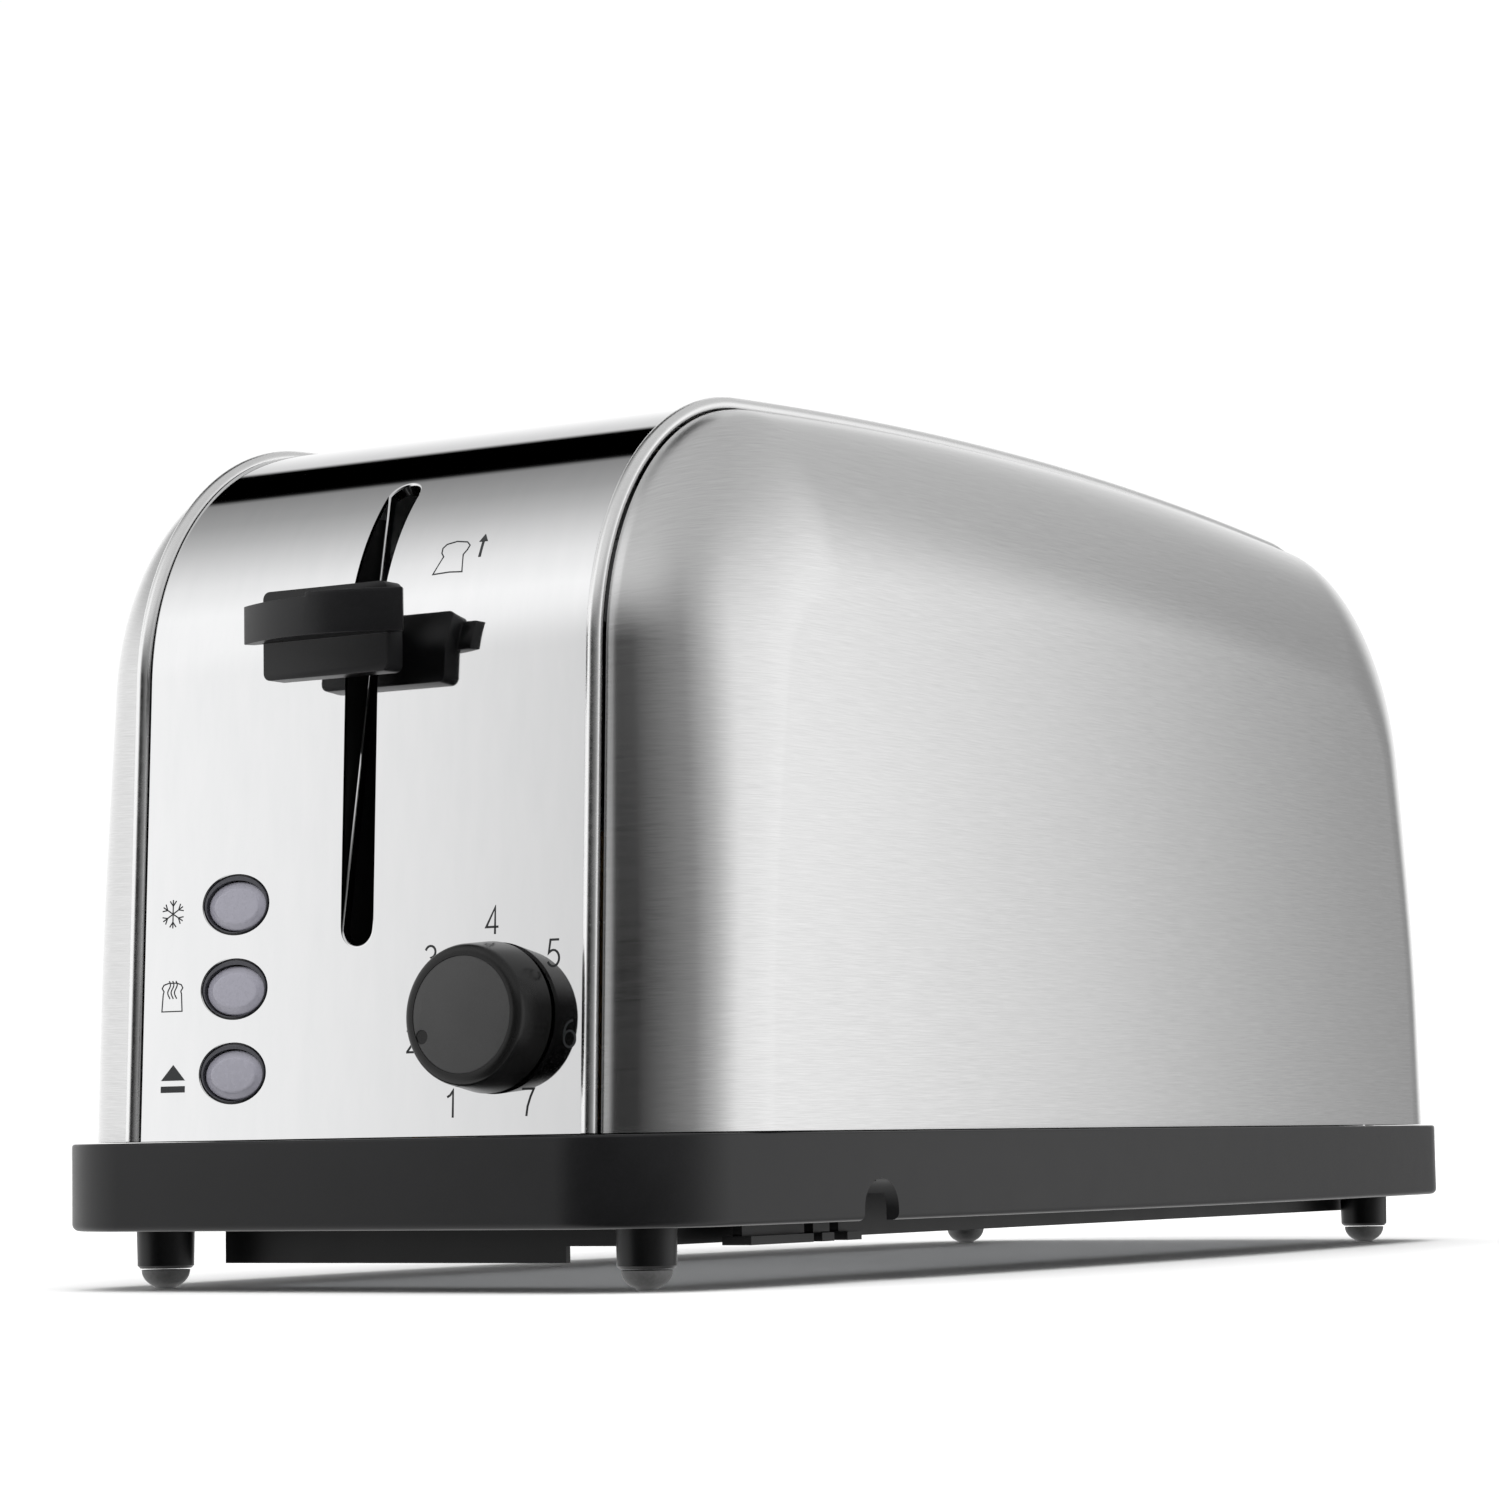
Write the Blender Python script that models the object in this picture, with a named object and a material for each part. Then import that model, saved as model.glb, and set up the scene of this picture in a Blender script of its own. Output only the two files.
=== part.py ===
"""Pop-up toaster with two long bread slots, as an assembly of separate pieces.

Design frame: X across the toaster, Y from the control end (negative) to the back, Z up from the
surface that it stands on. Dimensions are in millimetres and the meshes are built in metres.
"""
import math

import bmesh
import bpy
from mathutils import Matrix, Vector

MM = 0.001
GAP = 0.3

# ---- Outer shape
HEIGHT = 190.0
SHELL_FOOT_Z = 31.1
SHELL_HALF_LENGTH = 194.0
LEAN = math.radians(2.45)
CORNER_RADIUS = 59.6
CROWN_RADIUS = 1990.0
SHEET = 0.8
SHELL_INSET = 1.6
PANEL_INSET = 2.9

BEAD_X = 57.5
BEAD_RADIUS = 1.7
BAND_HALF_WIDTH = BEAD_X - BEAD_RADIUS - GAP

PANEL_EDGE_X = BEAD_X + BEAD_RADIUS + GAP
PANEL_DEPTH_LOW = 21.2
PANEL_DEPTH_HIGH = 19.0
PANEL_ROUND_LOW = 28.5
PANEL_ROUND_HIGH = 40.0
PANEL_BULGE = 5.0
PANEL_POWER = 2.1

# ---- Plastic base
BASE_HALF_LENGTH = 200.9
BASE_HALF_WIDTH = 90.0
BASE_SIDE_RADIUS = 1744.0
BASE_CORNER_RADIUS = 26.3
BASE_LOW_Z = 12.5
BASE_HIGH_Z = 30.8
BASE_WALL = 3.0
BASE_RIM = 13.0
FLOOR_LOW_Z = 18.0
FLOOR_HIGH_Z = 20.5
FOOT_X = 61.0
FOOT_Y = 177.5
POST_RADIUS = 6.0
POST_LOW_Z = 4.3
PAD_RADIUS = 5.15
NOTCH_Y = -126.0
NOTCH_HALF_WIDTH = 6.25
NOTCH_TOP_Z = 21.2
GLAND = (69.0, -158.0)

# ---- Crumb tray and the channel that it slides in
CHANNEL_HALF_WIDTH = 54.0
CHANNEL_WALL = 1.5
CHANNEL_FRONT_Y = -166.0
CHANNEL_LOW_Z = 8.4
APRON_LOW_Z = 5.0
APRON_STEP_X = 34.0
TRAY_LOW_Z = 9.9
TRAY_HIGH_Z = 16.6
TRAY_HANDLE_HALF_WIDTH = 52.4

# ---- Bread slots and the toasting chamber
SLOT_X = 27.0
SLOT_HALF_WIDTH = 17.5
SLOT_FRONT_Y = -125.0
SLOT_BACK_Y = 135.0
CHAMBER_FRONT_Y = -134.0
CHAMBER_BACK_Y = 142.0
CHAMBER_HALF_WIDTH = 56.0
CHAMBER_HIGH_Z = 176.0
REFLECTOR_X = 54.0
OUTER_CARD_X = 48.0
CARD_THICKNESS = 1.0
WIRE_THICKNESS = 0.6
GUIDE_OUTER_X = 42.4
GUIDE_INNER_X = 10.0
GUIDE_WIRE = 1.6

# ---- Carriage, at rest with the lever up
LEVER_SLOT_LOW_Z = 70.3
LEVER_SLOT_HIGH_Z = 168.0
LEVER_SLOT_HALF_WIDTH = 3.6
LEVER_Z = 134.0
LINER_LOW_Z = 66.8
LINER_BACK_Y = -171.0
HANDLE_BACK_Y = -195.5
HANDLE_PLATE = 5.3
HANDLE_HALF_WIDTH = 15.8
GRIP_HALF_WIDTH = 20.2
GRIP_REACH = 1.0
GRIP_BOW = 5.8
CARRIAGE_Y = -157.0
ROD_X = 26.0
ROD_RADIUS = 2.5
RACK_LOW_Z = 84.0
RACK_HIGH_Z = 91.0

# ---- Controls, on the front of the steel band
KNOB_X = 34.0
KNOB_Z = 54.5
KNOB_REAR_RADIUS = 15.2
KNOB_FACE_RADIUS = 14.1
KNOB_LENGTH = 10.8
POINTER_ANGLE = math.radians(114.0)
POINTER_RADIUS = 10.4
BUTTON_X = -31.5
BUTTONS = {"button_defrost": 80.0, "button_reheat": 62.4, "button_cancel": 44.9}
BUTTON_HOLE = (8.6, 6.3)

# The front of the finger grip and the back of the base are the ends of the toaster
FRONT_Y = HANDLE_BACK_Y - HANDLE_PLATE + GAP - GRIP_REACH - GRIP_BOW

FINISHES = {
    "mirror_steel": ((0.78, 0.79, 0.80), 0.06, 1.0),
    "brushed_steel": ((0.62, 0.62, 0.63), 0.30, 1.0),
    "black_plastic": ((0.020, 0.020, 0.021), 0.45, 0.0),
    "grey_rubber": ((0.19, 0.19, 0.19), 0.60, 0.0),
    "smoke_plastic": ((0.22, 0.21, 0.26), 0.25, 0.0),
    "galvanised_steel": ((0.55, 0.56, 0.57), 0.38, 1.0),
    "mica": ((0.48, 0.40, 0.27), 0.55, 0.0),
    "nichrome": ((0.30, 0.27, 0.24), 0.42, 1.0),
    "circuit_board": ((0.35, 0.22, 0.08), 0.50, 0.0),
    "copper": ((0.62, 0.28, 0.12), 0.35, 1.0),
}


def material(finish):
    """The named finish as a Principled material, made once."""
    found = bpy.data.materials.get(finish)
    if found:
        return found
    colour, roughness, metallic = FINISHES[finish]
    made = bpy.data.materials.new(finish)
    made.use_nodes = True
    shader = made.node_tree.nodes["Principled BSDF"]
    shader.inputs["Base Color"].default_value = (*colour, 1.0)
    shader.inputs["Roughness"].default_value = roughness
    shader.inputs["Metallic"].default_value = metallic
    made.diffuse_color = (*colour, 1.0)
    return made


def clear_scene():
    for item in list(bpy.data.objects):
        bpy.data.objects.remove(item, do_unlink=True)


def add(name, shape, finish, origin=(0.0, 0.0, 0.0), smooth=False):
    """Turns a bmesh in millimetres into an object in metres, with its origin where asked."""
    shape.transform(Matrix.Translation(-Vector(origin)))
    shape.transform(Matrix.Scale(MM, 4))
    bmesh.ops.recalc_face_normals(shape, faces=shape.faces)
    mesh = bpy.data.meshes.new(name)
    shape.to_mesh(mesh)
    shape.free()
    mesh.materials.append(material(finish))
    if smooth:
        mesh.shade_smooth()
        mesh.set_sharp_from_angle(angle=math.radians(35))
    item = bpy.data.objects.new(name, mesh)
    bpy.context.scene.collection.objects.link(item)
    item.parent = ROOT
    item.location = Vector(origin) * MM
    return item


def cut(item, shape, operation="DIFFERENCE"):
    """Cuts a bmesh out of an object, or joins it on, and keeps the cutter as a wire guide."""
    cutter = add(f"{item.name}_{operation.lower()}_{len(item.modifiers)}", shape, "black_plastic")
    cutter.hide_render = True
    cutter.display_type = "WIRE"
    modifier = item.modifiers.new(operation.title(), "BOOLEAN")
    modifier.operation = operation
    modifier.object = cutter
    modifier.solver = "EXACT"


def merged(*shapes):
    """Several bmeshes as one, with their bodies left separate."""
    whole = bmesh.new()
    for shape in shapes:
        mesh = bpy.data.meshes.new("part")
        shape.to_mesh(mesh)
        shape.free()
        whole.from_mesh(mesh)
        bpy.data.meshes.remove(mesh)
    return whole


# ---- Shape builders, all in millimetres


def loft(rings):
    """Skins rings of equal length, in order, and caps both ends."""
    shape = bmesh.new()
    rows = [[shape.verts.new(point) for point in ring] for ring in rings]
    for low, high in zip(rows, rows[1:]):
        for i in range(len(low)):
            j = (i + 1) % len(low)
            shape.faces.new((low[i], low[j], high[j], high[i]))
    shape.faces.new(rows[0][::-1])
    shape.faces.new(rows[-1])
    return shape


def prism(outline, axis, low, high):
    """An outline in the plane across an axis, pushed from low to high along it."""
    place = {
        "X": lambda a, b, along: (along, a, b),
        "Y": lambda a, b, along: (a, along, b),
        "Z": lambda a, b, along: (a, b, along),
    }[axis]
    return loft([[place(a, b, along) for a, b in outline] for along in (low, high)])


def ellipse(x, y, radius_x, radius_y, steps=24):
    turns = [math.tau * i / steps for i in range(steps)]
    return [(x + radius_x * math.cos(turn), y + radius_y * math.sin(turn)) for turn in turns]


def cylinder(axis, x, y, radius, low, high, steps=20):
    return prism(ellipse(x, y, radius, radius, steps), axis, low, high)


def lathe(profile, steps=24):
    """Turns a profile of (radius, height) about Z; the end points lie on the axis."""
    shape = bmesh.new()
    low = shape.verts.new((0, 0, profile[0][1]))
    high = shape.verts.new((0, 0, profile[-1][1]))
    rows = []
    for radius, height in profile[1:-1]:
        circle = ellipse(0, 0, radius, radius, steps)
        rows.append([shape.verts.new((x, y, height)) for x, y in circle])
    for lower, upper in zip(rows, rows[1:]):
        for i in range(steps):
            j = (i + 1) % steps
            shape.faces.new((lower[i], lower[j], upper[j], upper[i]))
    for i in range(steps):
        j = (i + 1) % steps
        shape.faces.new((low, rows[0][j], rows[0][i]))
        shape.faces.new((high, rows[-1][i], rows[-1][j]))
    return shape


def tube(path, radius, steps=8):
    """A round bar along a path, with flat ends; the path lies in the plane X = constant."""
    rings = []
    for i, point in enumerate(path):
        ahead = path[min(i + 1, len(path) - 1)] - path[max(i - 1, 0)]
        side = Vector((1, 0, 0))
        out = side.cross(ahead).normalized()
        circle = ellipse(0, 0, radius, radius, steps)
        rings.append([point + side * a + out * b for a, b in circle])
    return loft(rings)


def boxes(*corners):
    """One body from axis-aligned boxes (low corner, high corner) that touch or overlap."""
    cuts = [sorted({round(c[axis], 4) for pair in corners for c in pair}) for axis in range(3)]

    def filled(cell):
        if any(i < 0 or i + 1 >= len(cuts[axis]) for axis, i in enumerate(cell)):
            return False
        middle = [(cuts[axis][i] + cuts[axis][i + 1]) / 2 for axis, i in enumerate(cell)]
        return any(all(lo[k] < middle[k] < hi[k] for k in range(3)) for lo, hi in corners)

    shape = bmesh.new()
    known = {}

    def corner(i, j, k):
        if (i, j, k) not in known:
            known[i, j, k] = shape.verts.new((cuts[0][i], cuts[1][j], cuts[2][k]))
        return known[i, j, k]

    cells = [range(len(values) - 1) for values in cuts]
    for cell in ((i, j, k) for i in cells[0] for j in cells[1] for k in cells[2]):
        if not filled(cell):
            continue
        for axis in range(3):
            for step in (0, 1):
                beyond = list(cell)
                beyond[axis] += 2 * step - 1
                if filled(beyond):
                    continue
                first, second = [k for k in range(3) if k != axis]
                ring = []
                for a, b in ((0, 0), (1, 0), (1, 1), (0, 1)):
                    index = list(cell)
                    index[axis] += step
                    index[first] += a
                    index[second] += b
                    ring.append(corner(*index))
                shape.faces.new(ring)
    bmesh.ops.recalc_face_normals(shape, faces=shape.faces)
    bmesh.ops.dissolve_limit(shape, angle_limit=0.01, verts=shape.verts, edges=shape.edges)
    return shape


def lattice(x, y_edges, z_edges, bar):
    """A flat grid in the plane X = x: bars of one width, centred on the given lines."""
    low_y, high_y, low_z, high_z = y_edges[0], y_edges[-1], z_edges[0], z_edges[-1]
    half = bar / 2
    uprights = [((x, y - half, low_z - half), (x + bar, y + half, high_z + half)) for y in y_edges]
    rails = [((x, low_y - half, z - half), (x + bar, high_y + half, z + half)) for z in z_edges]
    return boxes(*uprights, *rails)


# ---- The arch of the steel shell, seen from the side


def arch_frame():
    """Centre of the corner round, and the angles at which it meets the side and the crown."""
    normal = Vector((math.cos(LEAN), math.sin(LEAN)))
    along = Vector((-normal.y, normal.x))
    reach = normal.dot(Vector((SHELL_HALF_LENGTH, SHELL_FOOT_Z))) - CORNER_RADIUS
    start = normal * reach - Vector((0, HEIGHT - CROWN_RADIUS))
    slope = start.dot(along)
    room = (CROWN_RADIUS - CORNER_RADIUS) ** 2 - start.length_squared
    rise = -slope + math.sqrt(slope * slope + room)
    centre = normal * reach + along * rise
    crown = centre - Vector((0, HEIGHT - CROWN_RADIUS))
    return centre, LEAN, math.atan2(crown.y, crown.x)


CORNER_CENTRE, CORNER_START, CORNER_END = arch_frame()


def arch(inset, leg=1, corner=12, crown=5):
    """Points (y, z) from the front foot over the crown to the back foot, moved inwards."""
    radius = CORNER_RADIUS - inset
    spring = CORNER_CENTRE + radius * Vector((math.cos(CORNER_START), math.sin(CORNER_START)))
    foot = Vector((spring.x + (spring.y - SHELL_FOOT_Z) * math.tan(LEAN), SHELL_FOOT_Z))
    half = [foot.lerp(spring, i / leg) for i in range(leg)]
    for i in range(corner):
        turn = CORNER_START + (CORNER_END - CORNER_START) * i / corner
        half.append(CORNER_CENTRE + radius * Vector((math.cos(turn), math.sin(turn))))
    for i in range(crown + 1):
        turn = CORNER_END + (math.pi / 2 - CORNER_END) * i / crown
        reach = CROWN_RADIUS - inset
        half.append(Vector((reach * math.cos(turn), HEIGHT - CROWN_RADIUS + reach * math.sin(turn))))
    front = [(-point.x, point.y) for point in half[:-1]]
    back = [(point.x, point.y) for point in reversed(half)]
    return front + back


def front_face(x, z):
    """A frame on the front of the band: local X across, Y up the face, Z out of it."""
    y = -(SHELL_HALF_LENGTH - (z - SHELL_FOOT_Z) * math.tan(LEAN)) + SHELL_INSET
    turn = Matrix.Rotation(math.pi / 2 - LEAN, 4, "X")
    return Matrix.Translation((x, y, z)) @ turn


def on_front(shape, x, z):
    shape.transform(front_face(x, z))
    return shape


# ---- Steel shell


def centre_band():
    half = BAND_HALF_WIDTH
    outer, inner = SHELL_INSET, SHELL_INSET + SHEET
    edges = [(-half, outer), (half, outer), (half, inner), (-half, inner)]
    shape = bmesh.new()
    rows = [[shape.verts.new((x, y, z)) for y, z in arch(inset)] for x, inset in edges]
    for a, b in zip(rows, rows[1:] + rows[:1]):
        for i in range(len(a) - 1):
            shape.faces.new((a[i], a[i + 1], b[i + 1], b[i]))
    for i in (0, -1):
        shape.faces.new([row[i] for row in rows])
    band = add("centre_band", shape, "mirror_steel", smooth=True)

    half = LEVER_SLOT_HALF_WIDTH
    turns = [math.pi * i / 8 for i in range(9)]
    low = [(-half * math.cos(t), LEVER_SLOT_LOW_Z + half - half * math.sin(t)) for t in turns]
    high = [(half * math.cos(t), LEVER_SLOT_HIGH_Z - half + half * math.sin(t)) for t in turns]
    lever_slot = prism(low + high, "Y", -210, -150)
    holes = []
    for z in BUTTONS.values():
        holes.append(on_front(prism(ellipse(0, 0, *BUTTON_HOLE), "Z", -8, 8), BUTTON_X, z))
    shaft_hole = on_front(cylinder("Z", 0, 0, 4.5, -8, 8), KNOB_X, KNOB_Z)
    cut(band, merged(lever_slot, shaft_hole, *holes))
    cut(band, merged(*[prism(bread_slot_outline(side), "Z", 170, 200) for side in (-1, 1)]))
    return band


def bread_slot_outline(side, radius=6.0, steps=4):
    """Rounded rectangle of one bread slot, seen from above."""
    points = []
    spots = (
        (SLOT_HALF_WIDTH, SLOT_BACK_Y, 0.0),
        (-SLOT_HALF_WIDTH, SLOT_BACK_Y, 0.5),
        (-SLOT_HALF_WIDTH, SLOT_FRONT_Y, 1.0),
        (SLOT_HALF_WIDTH, SLOT_FRONT_Y, 1.5),
    )
    middle_y = (SLOT_FRONT_Y + SLOT_BACK_Y) / 2
    for x, y, start in spots:
        centre_x = x - math.copysign(radius, x)
        centre_y = y - math.copysign(radius, y - middle_y)
        for i in range(steps + 1):
            turn = math.pi * (start + 0.5 * i / steps)
            x_now = side * SLOT_X + centre_x + radius * math.cos(turn)
            points.append((x_now, centre_y + radius * math.sin(turn)))
    return points


def panel_surface(round_steps=8, leg=3, corner=8, crown=4):
    """Rows of points of the right side panel, from its edge at the bead to its middle."""
    plain = arch(PANEL_INSET, leg, corner, crown)

    def blend(z):
        share = min(max((z - 60.0) / 125.0, 0.0), 1.0)
        return share * share * (3 - 2 * share)

    def depth(y, z, share):
        low, high = PANEL_DEPTH_LOW, PANEL_DEPTH_HIGH
        rise = (1 - (1 - min(share, 1)) ** PANEL_POWER) ** (1 / PANEL_POWER)
        ease = min(share, 1) ** 2 * (3 - 2 * min(share, 1))
        swell = PANEL_BULGE * (1 - min(abs(y) / SHELL_HALF_LENGTH, 1) ** 2) * ease
        return PANEL_EDGE_X + (low + (high - low) * blend(z)) * rise + swell

    rounds = [
        PANEL_ROUND_LOW + (PANEL_ROUND_HIGH - PANEL_ROUND_LOW) * blend(z) for _, z in plain
    ]
    shares = [(i / round_steps) ** 1.6 for i in range(round_steps + 1)] + [1.35]
    rows = []
    for share in shares:
        points = []
        for i, reach in enumerate(rounds):
            y, z = arch(PANEL_INSET + share * reach, leg, corner, crown)[i]
            points.append((depth(y, z, share), y, z))
        rows.append(points)
    last = rows[-1]
    spine_top = 112.0
    for share in (1 / 3, 2 / 3, 1.0):
        points = []
        for _, y, z in last:
            goal = SHELL_FOOT_Z + (min(z, CORNER_CENTRE.y) - SHELL_FOOT_Z) * (
                spine_top - SHELL_FOOT_Z
            ) / (CORNER_CENTRE.y - SHELL_FOOT_Z)
            near_y = y * (1 - share)
            near_z = z + (goal - z) * share
            points.append((depth(near_y, near_z, 1.0), near_y, near_z))
        rows.append(points)
    return rows


def side_panel(name, side):
    rows = panel_surface()
    shape = bmesh.new()
    grid = [[shape.verts.new((side * x, y, z)) for x, y, z in row] for row in rows]
    for outer, inner in zip(grid, grid[1:]):
        for i in range(len(outer) - 1):
            shape.faces.new((outer[i], outer[i + 1], inner[i + 1], inner[i]))
    bmesh.ops.remove_doubles(shape, verts=shape.verts, dist=0.02)
    bmesh.ops.recalc_face_normals(shape, faces=shape.faces)
    if sum(face.normal.x * side for face in shape.faces) < 0:
        bmesh.ops.reverse_faces(shape, faces=shape.faces)
    thicken(shape, SHEET)
    return add(name, shape, "brushed_steel", smooth=True)


def thicken(shape, thickness):
    """Gives an open sheet its thickness on the inner side and closes its edge."""
    shape.normal_update()
    inner = {vert: shape.verts.new(vert.co - vert.normal * thickness) for vert in list(shape.verts)}
    rims = [edge for edge in shape.edges if edge.is_boundary]
    faces = list(shape.faces)
    for vert, twin in inner.items():
        if abs(vert.co.z - SHELL_FOOT_Z) < 0.01:
            twin.co.z = SHELL_FOOT_Z
    for face in faces:
        shape.faces.new([inner[vert] for vert in reversed(face.verts)])
    for edge in rims:
        face = edge.link_faces[0]
        start, end = edge.verts
        order = [loop.vert for loop in face.loops]
        if order[(order.index(start) + 1) % len(order)] is not end:
            start, end = end, start
        shape.faces.new((end, start, inner[start], inner[end]))


def edge_bead(name, side):
    path = [Vector((side * BEAD_X, y, z)) for y, z in arch(BEAD_RADIUS, 1, 10, 4)]
    return add(name, tube(path, BEAD_RADIUS), "mirror_steel", smooth=True)


# ---- Plastic base


def base_outline(inset, corner=8, side=8):
    """Outline of the base from above, with bowed sides and round corners, moved inwards."""
    side_centre = BASE_HALF_WIDTH - BASE_SIDE_RADIUS
    corner_y = BASE_HALF_LENGTH - BASE_CORNER_RADIUS
    reach = BASE_SIDE_RADIUS - BASE_CORNER_RADIUS
    corner_x = side_centre + math.sqrt(reach * reach - corner_y * corner_y)
    meet = math.asin(corner_y / reach)
    quarter = []
    for i in range(side):
        turn = meet * i / side
        radius = BASE_SIDE_RADIUS - inset
        quarter.append((side_centre + radius * math.cos(turn), radius * math.sin(turn)))
    for i in range(corner + 1):
        turn = meet + (math.pi / 2 - meet) * i / corner
        radius = BASE_CORNER_RADIUS - inset
        quarter.append((corner_x + radius * math.cos(turn), corner_y + radius * math.sin(turn)))
    right_back = quarter
    left_back = [(-x, y) for x, y in reversed(quarter)]
    left_front = [(-x, -y) for x, y in quarter[1:]]
    right_front = [(x, -y) for x, y in reversed(quarter[1:])]
    return right_back + left_back + left_front + right_front


def base_prism(inset, low, high):
    return prism(base_outline(inset), "Z", low, high)


def channel_walls():
    """The channel under the floor that the crumb tray slides in, and the stepped apron before it."""
    wide, wall, low = CHANNEL_HALF_WIDTH, CHANNEL_WALL, CHANNEL_LOW_Z
    front, top = CHANNEL_FRONT_Y, FLOOR_LOW_Z + 1
    back = BASE_HALF_LENGTH - BASE_WALL - 2.0
    parts = [
        ((-wide, front, APRON_LOW_Z), (APRON_STEP_X, front + wall, top)),
        ((APRON_STEP_X, front, low), (wide, front + wall, top)),
    ]
    for side in (-1, 1):
        wall_x = sorted((side * wide, side * (wide - wall)))
        lip_x = sorted((side * wide, side * (wide - 5)))
        parts.append(((wall_x[0], front, low), (wall_x[1], back, top)))
        parts.append(((lip_x[0], front + wall, low), (lip_x[1], back, low + 1.2)))
    return boxes(*parts)


def cord_cleats():
    """Three short hooks under the floor, beside the tray, that the cord wraps round."""
    shapes = []
    for low_y, high_y in ((-146.0, -121.0), (-117.5, -112.5), (-107.0, -101.0)):
        arm = ((59.0, low_y, 8.0), (66.0, high_y, 9.8))
        stem = ((61.0, low_y + 1, 8.0), (63.2, high_y - 1, FLOOR_LOW_Z + 1))
        shapes.append(boxes(arm, stem))
    return shapes


def base_frame():
    rings = []
    for z, inset in ((BASE_LOW_Z, 1.3), (BASE_LOW_Z + 1.3, 0), (BASE_HIGH_Z - 0.6, 0), (BASE_HIGH_Z, 0.6)):
        rings.append([(x, y, z) for x, y in base_outline(inset)])
    base = add("base_frame", loft(rings), "black_plastic", smooth=True)
    cut(base, base_prism(BASE_WALL, BASE_LOW_Z - 5, FLOOR_LOW_Z))
    cut(base, base_prism(BASE_WALL, FLOOR_HIGH_Z, BASE_HIGH_Z - 3.0))
    cut(base, base_prism(BASE_RIM, BASE_HIGH_Z - 4.0, BASE_HIGH_Z + 5))
    posts = [
        cylinder("Z", x * FOOT_X, y * FOOT_Y, POST_RADIUS, POST_LOW_Z, FLOOR_LOW_Z + 1.2)
        for x in (-1, 1)
        for y in (-1, 1)
    ]
    cut(base, merged(channel_walls(), *cord_cleats(), *posts), "UNION")
    crumb_opening = boxes(((-50, -126, FLOOR_LOW_Z - 2), (50, 136, FLOOR_HIGH_Z + 2)))
    gland_hole = cylinder("Z", *GLAND, 6.0, FLOOR_LOW_Z - 2, FLOOR_HIGH_Z + 2)
    screw_holes = [cylinder("Z", x, y, 2.4, POST_LOW_Z, FLOOR_HIGH_Z + 2, 12) for x, y in screw_spots()]
    handle_mouth = boxes(
        (
            (-TRAY_HANDLE_HALF_WIDTH - GAP, BASE_HALF_LENGTH - BASE_WALL - 1, BASE_LOW_Z - 2),
            (TRAY_HANDLE_HALF_WIDTH + GAP, BASE_HALF_LENGTH + 5, FLOOR_LOW_Z - 1),
        )
    )
    cut(base, merged(crumb_opening, gland_hole, *screw_holes, handle_mouth, cord_notch()))
    return base


def cord_notch():
    """The arched cut in the right side of the skirt where the cord comes out."""
    half = NOTCH_HALF_WIDTH
    spring_z = NOTCH_TOP_Z - half
    turns = [math.pi * i / 8 for i in range(9)]
    arc = [(NOTCH_Y + half * math.cos(t), spring_z + half * math.sin(t)) for t in turns]
    foot = [(NOTCH_Y - half, BASE_LOW_Z - 2), (NOTCH_Y + half, BASE_LOW_Z - 2)]
    return prism(arc + foot, "X", 75, 95)


def screw_spots():
    return [(x, y) for x in (-70.0, 70.0) for y in (-60.0, 110.0)]


def base_screws():
    for number, (x, y) in enumerate(screw_spots(), 1):
        head = [(0, 14.6), (3.4, 14.6), (3.8, 15.4), (3.8, 17.6)]
        screw = lathe([*head, (1.9, 17.7), (1.9, 27.0), (0, 27.0)], 14)
        screw.transform(Matrix.Translation((x, y, 0)))
        item = add(f"base_screw_{number}", screw, "galvanised_steel", smooth=True)
        cross = boxes(
            ((x - 2.2, y - 0.5, 13.5), (x + 2.2, y + 0.5, 15.8)),
            ((x - 0.5, y - 2.2, 13.5), (x + 0.5, y + 2.2, 15.8)),
        )
        cut(item, cross)


def feet():
    for end, y in (("front", -FOOT_Y), ("rear", FOOT_Y)):
        for hand, x in (("left", -FOOT_X), ("right", FOOT_X)):
            radius = PAD_RADIUS
            dome = [(0, 0), (2.0, 0)]
            dome += [(radius * math.sin(t), 4.0 - 4.0 * math.cos(t)) for t in (0.62, 0.95, 1.3)]
            dome += [(radius, 4.0), (0, 4.0)]
            pad = lathe(dome, 18)
            pad.transform(Matrix.Translation((x, y, 0)))
            add(f"foot_{end}_{hand}", pad, "grey_rubber", smooth=True)


def crumb_tray():
    wide = CHANNEL_HALF_WIDTH - CHANNEL_WALL - 0.6
    front = CHANNEL_FRONT_Y + CHANNEL_WALL + 0.8
    back = BASE_HALF_LENGTH - BASE_WALL - 1.4
    low, high, wall = TRAY_LOW_Z, TRAY_HIGH_Z, SHEET
    tray = boxes(
        ((-wide, front, low), (wide, back, low + wall)),
        ((-wide, front, low), (-wide + wall, back, high)),
        ((wide - wall, front, low), (wide, back, high)),
        ((-wide, front, low), (wide, front + wall, high)),
        ((-wide, back - wall, low), (wide, back, high)),
    )
    add("crumb_tray", tray, "galvanised_steel")
    half = TRAY_HANDLE_HALF_WIDTH
    grip_low = 9.0
    handle = boxes(
        ((-half, back + GAP, grip_low), (half, BASE_HALF_LENGTH - 0.4, FLOOR_LOW_Z - 1.4)),
    )
    grip = add("crumb_tray_handle", handle, "black_plastic")
    turns = [math.pi * i / 10 for i in range(11)]
    scoop = [(24.0 * math.cos(t), grip_low - 1 + 5.0 * math.sin(t)) for t in turns]
    cut(grip, prism(scoop, "Y", back + 2.6, BASE_HALF_LENGTH + 5))


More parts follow.
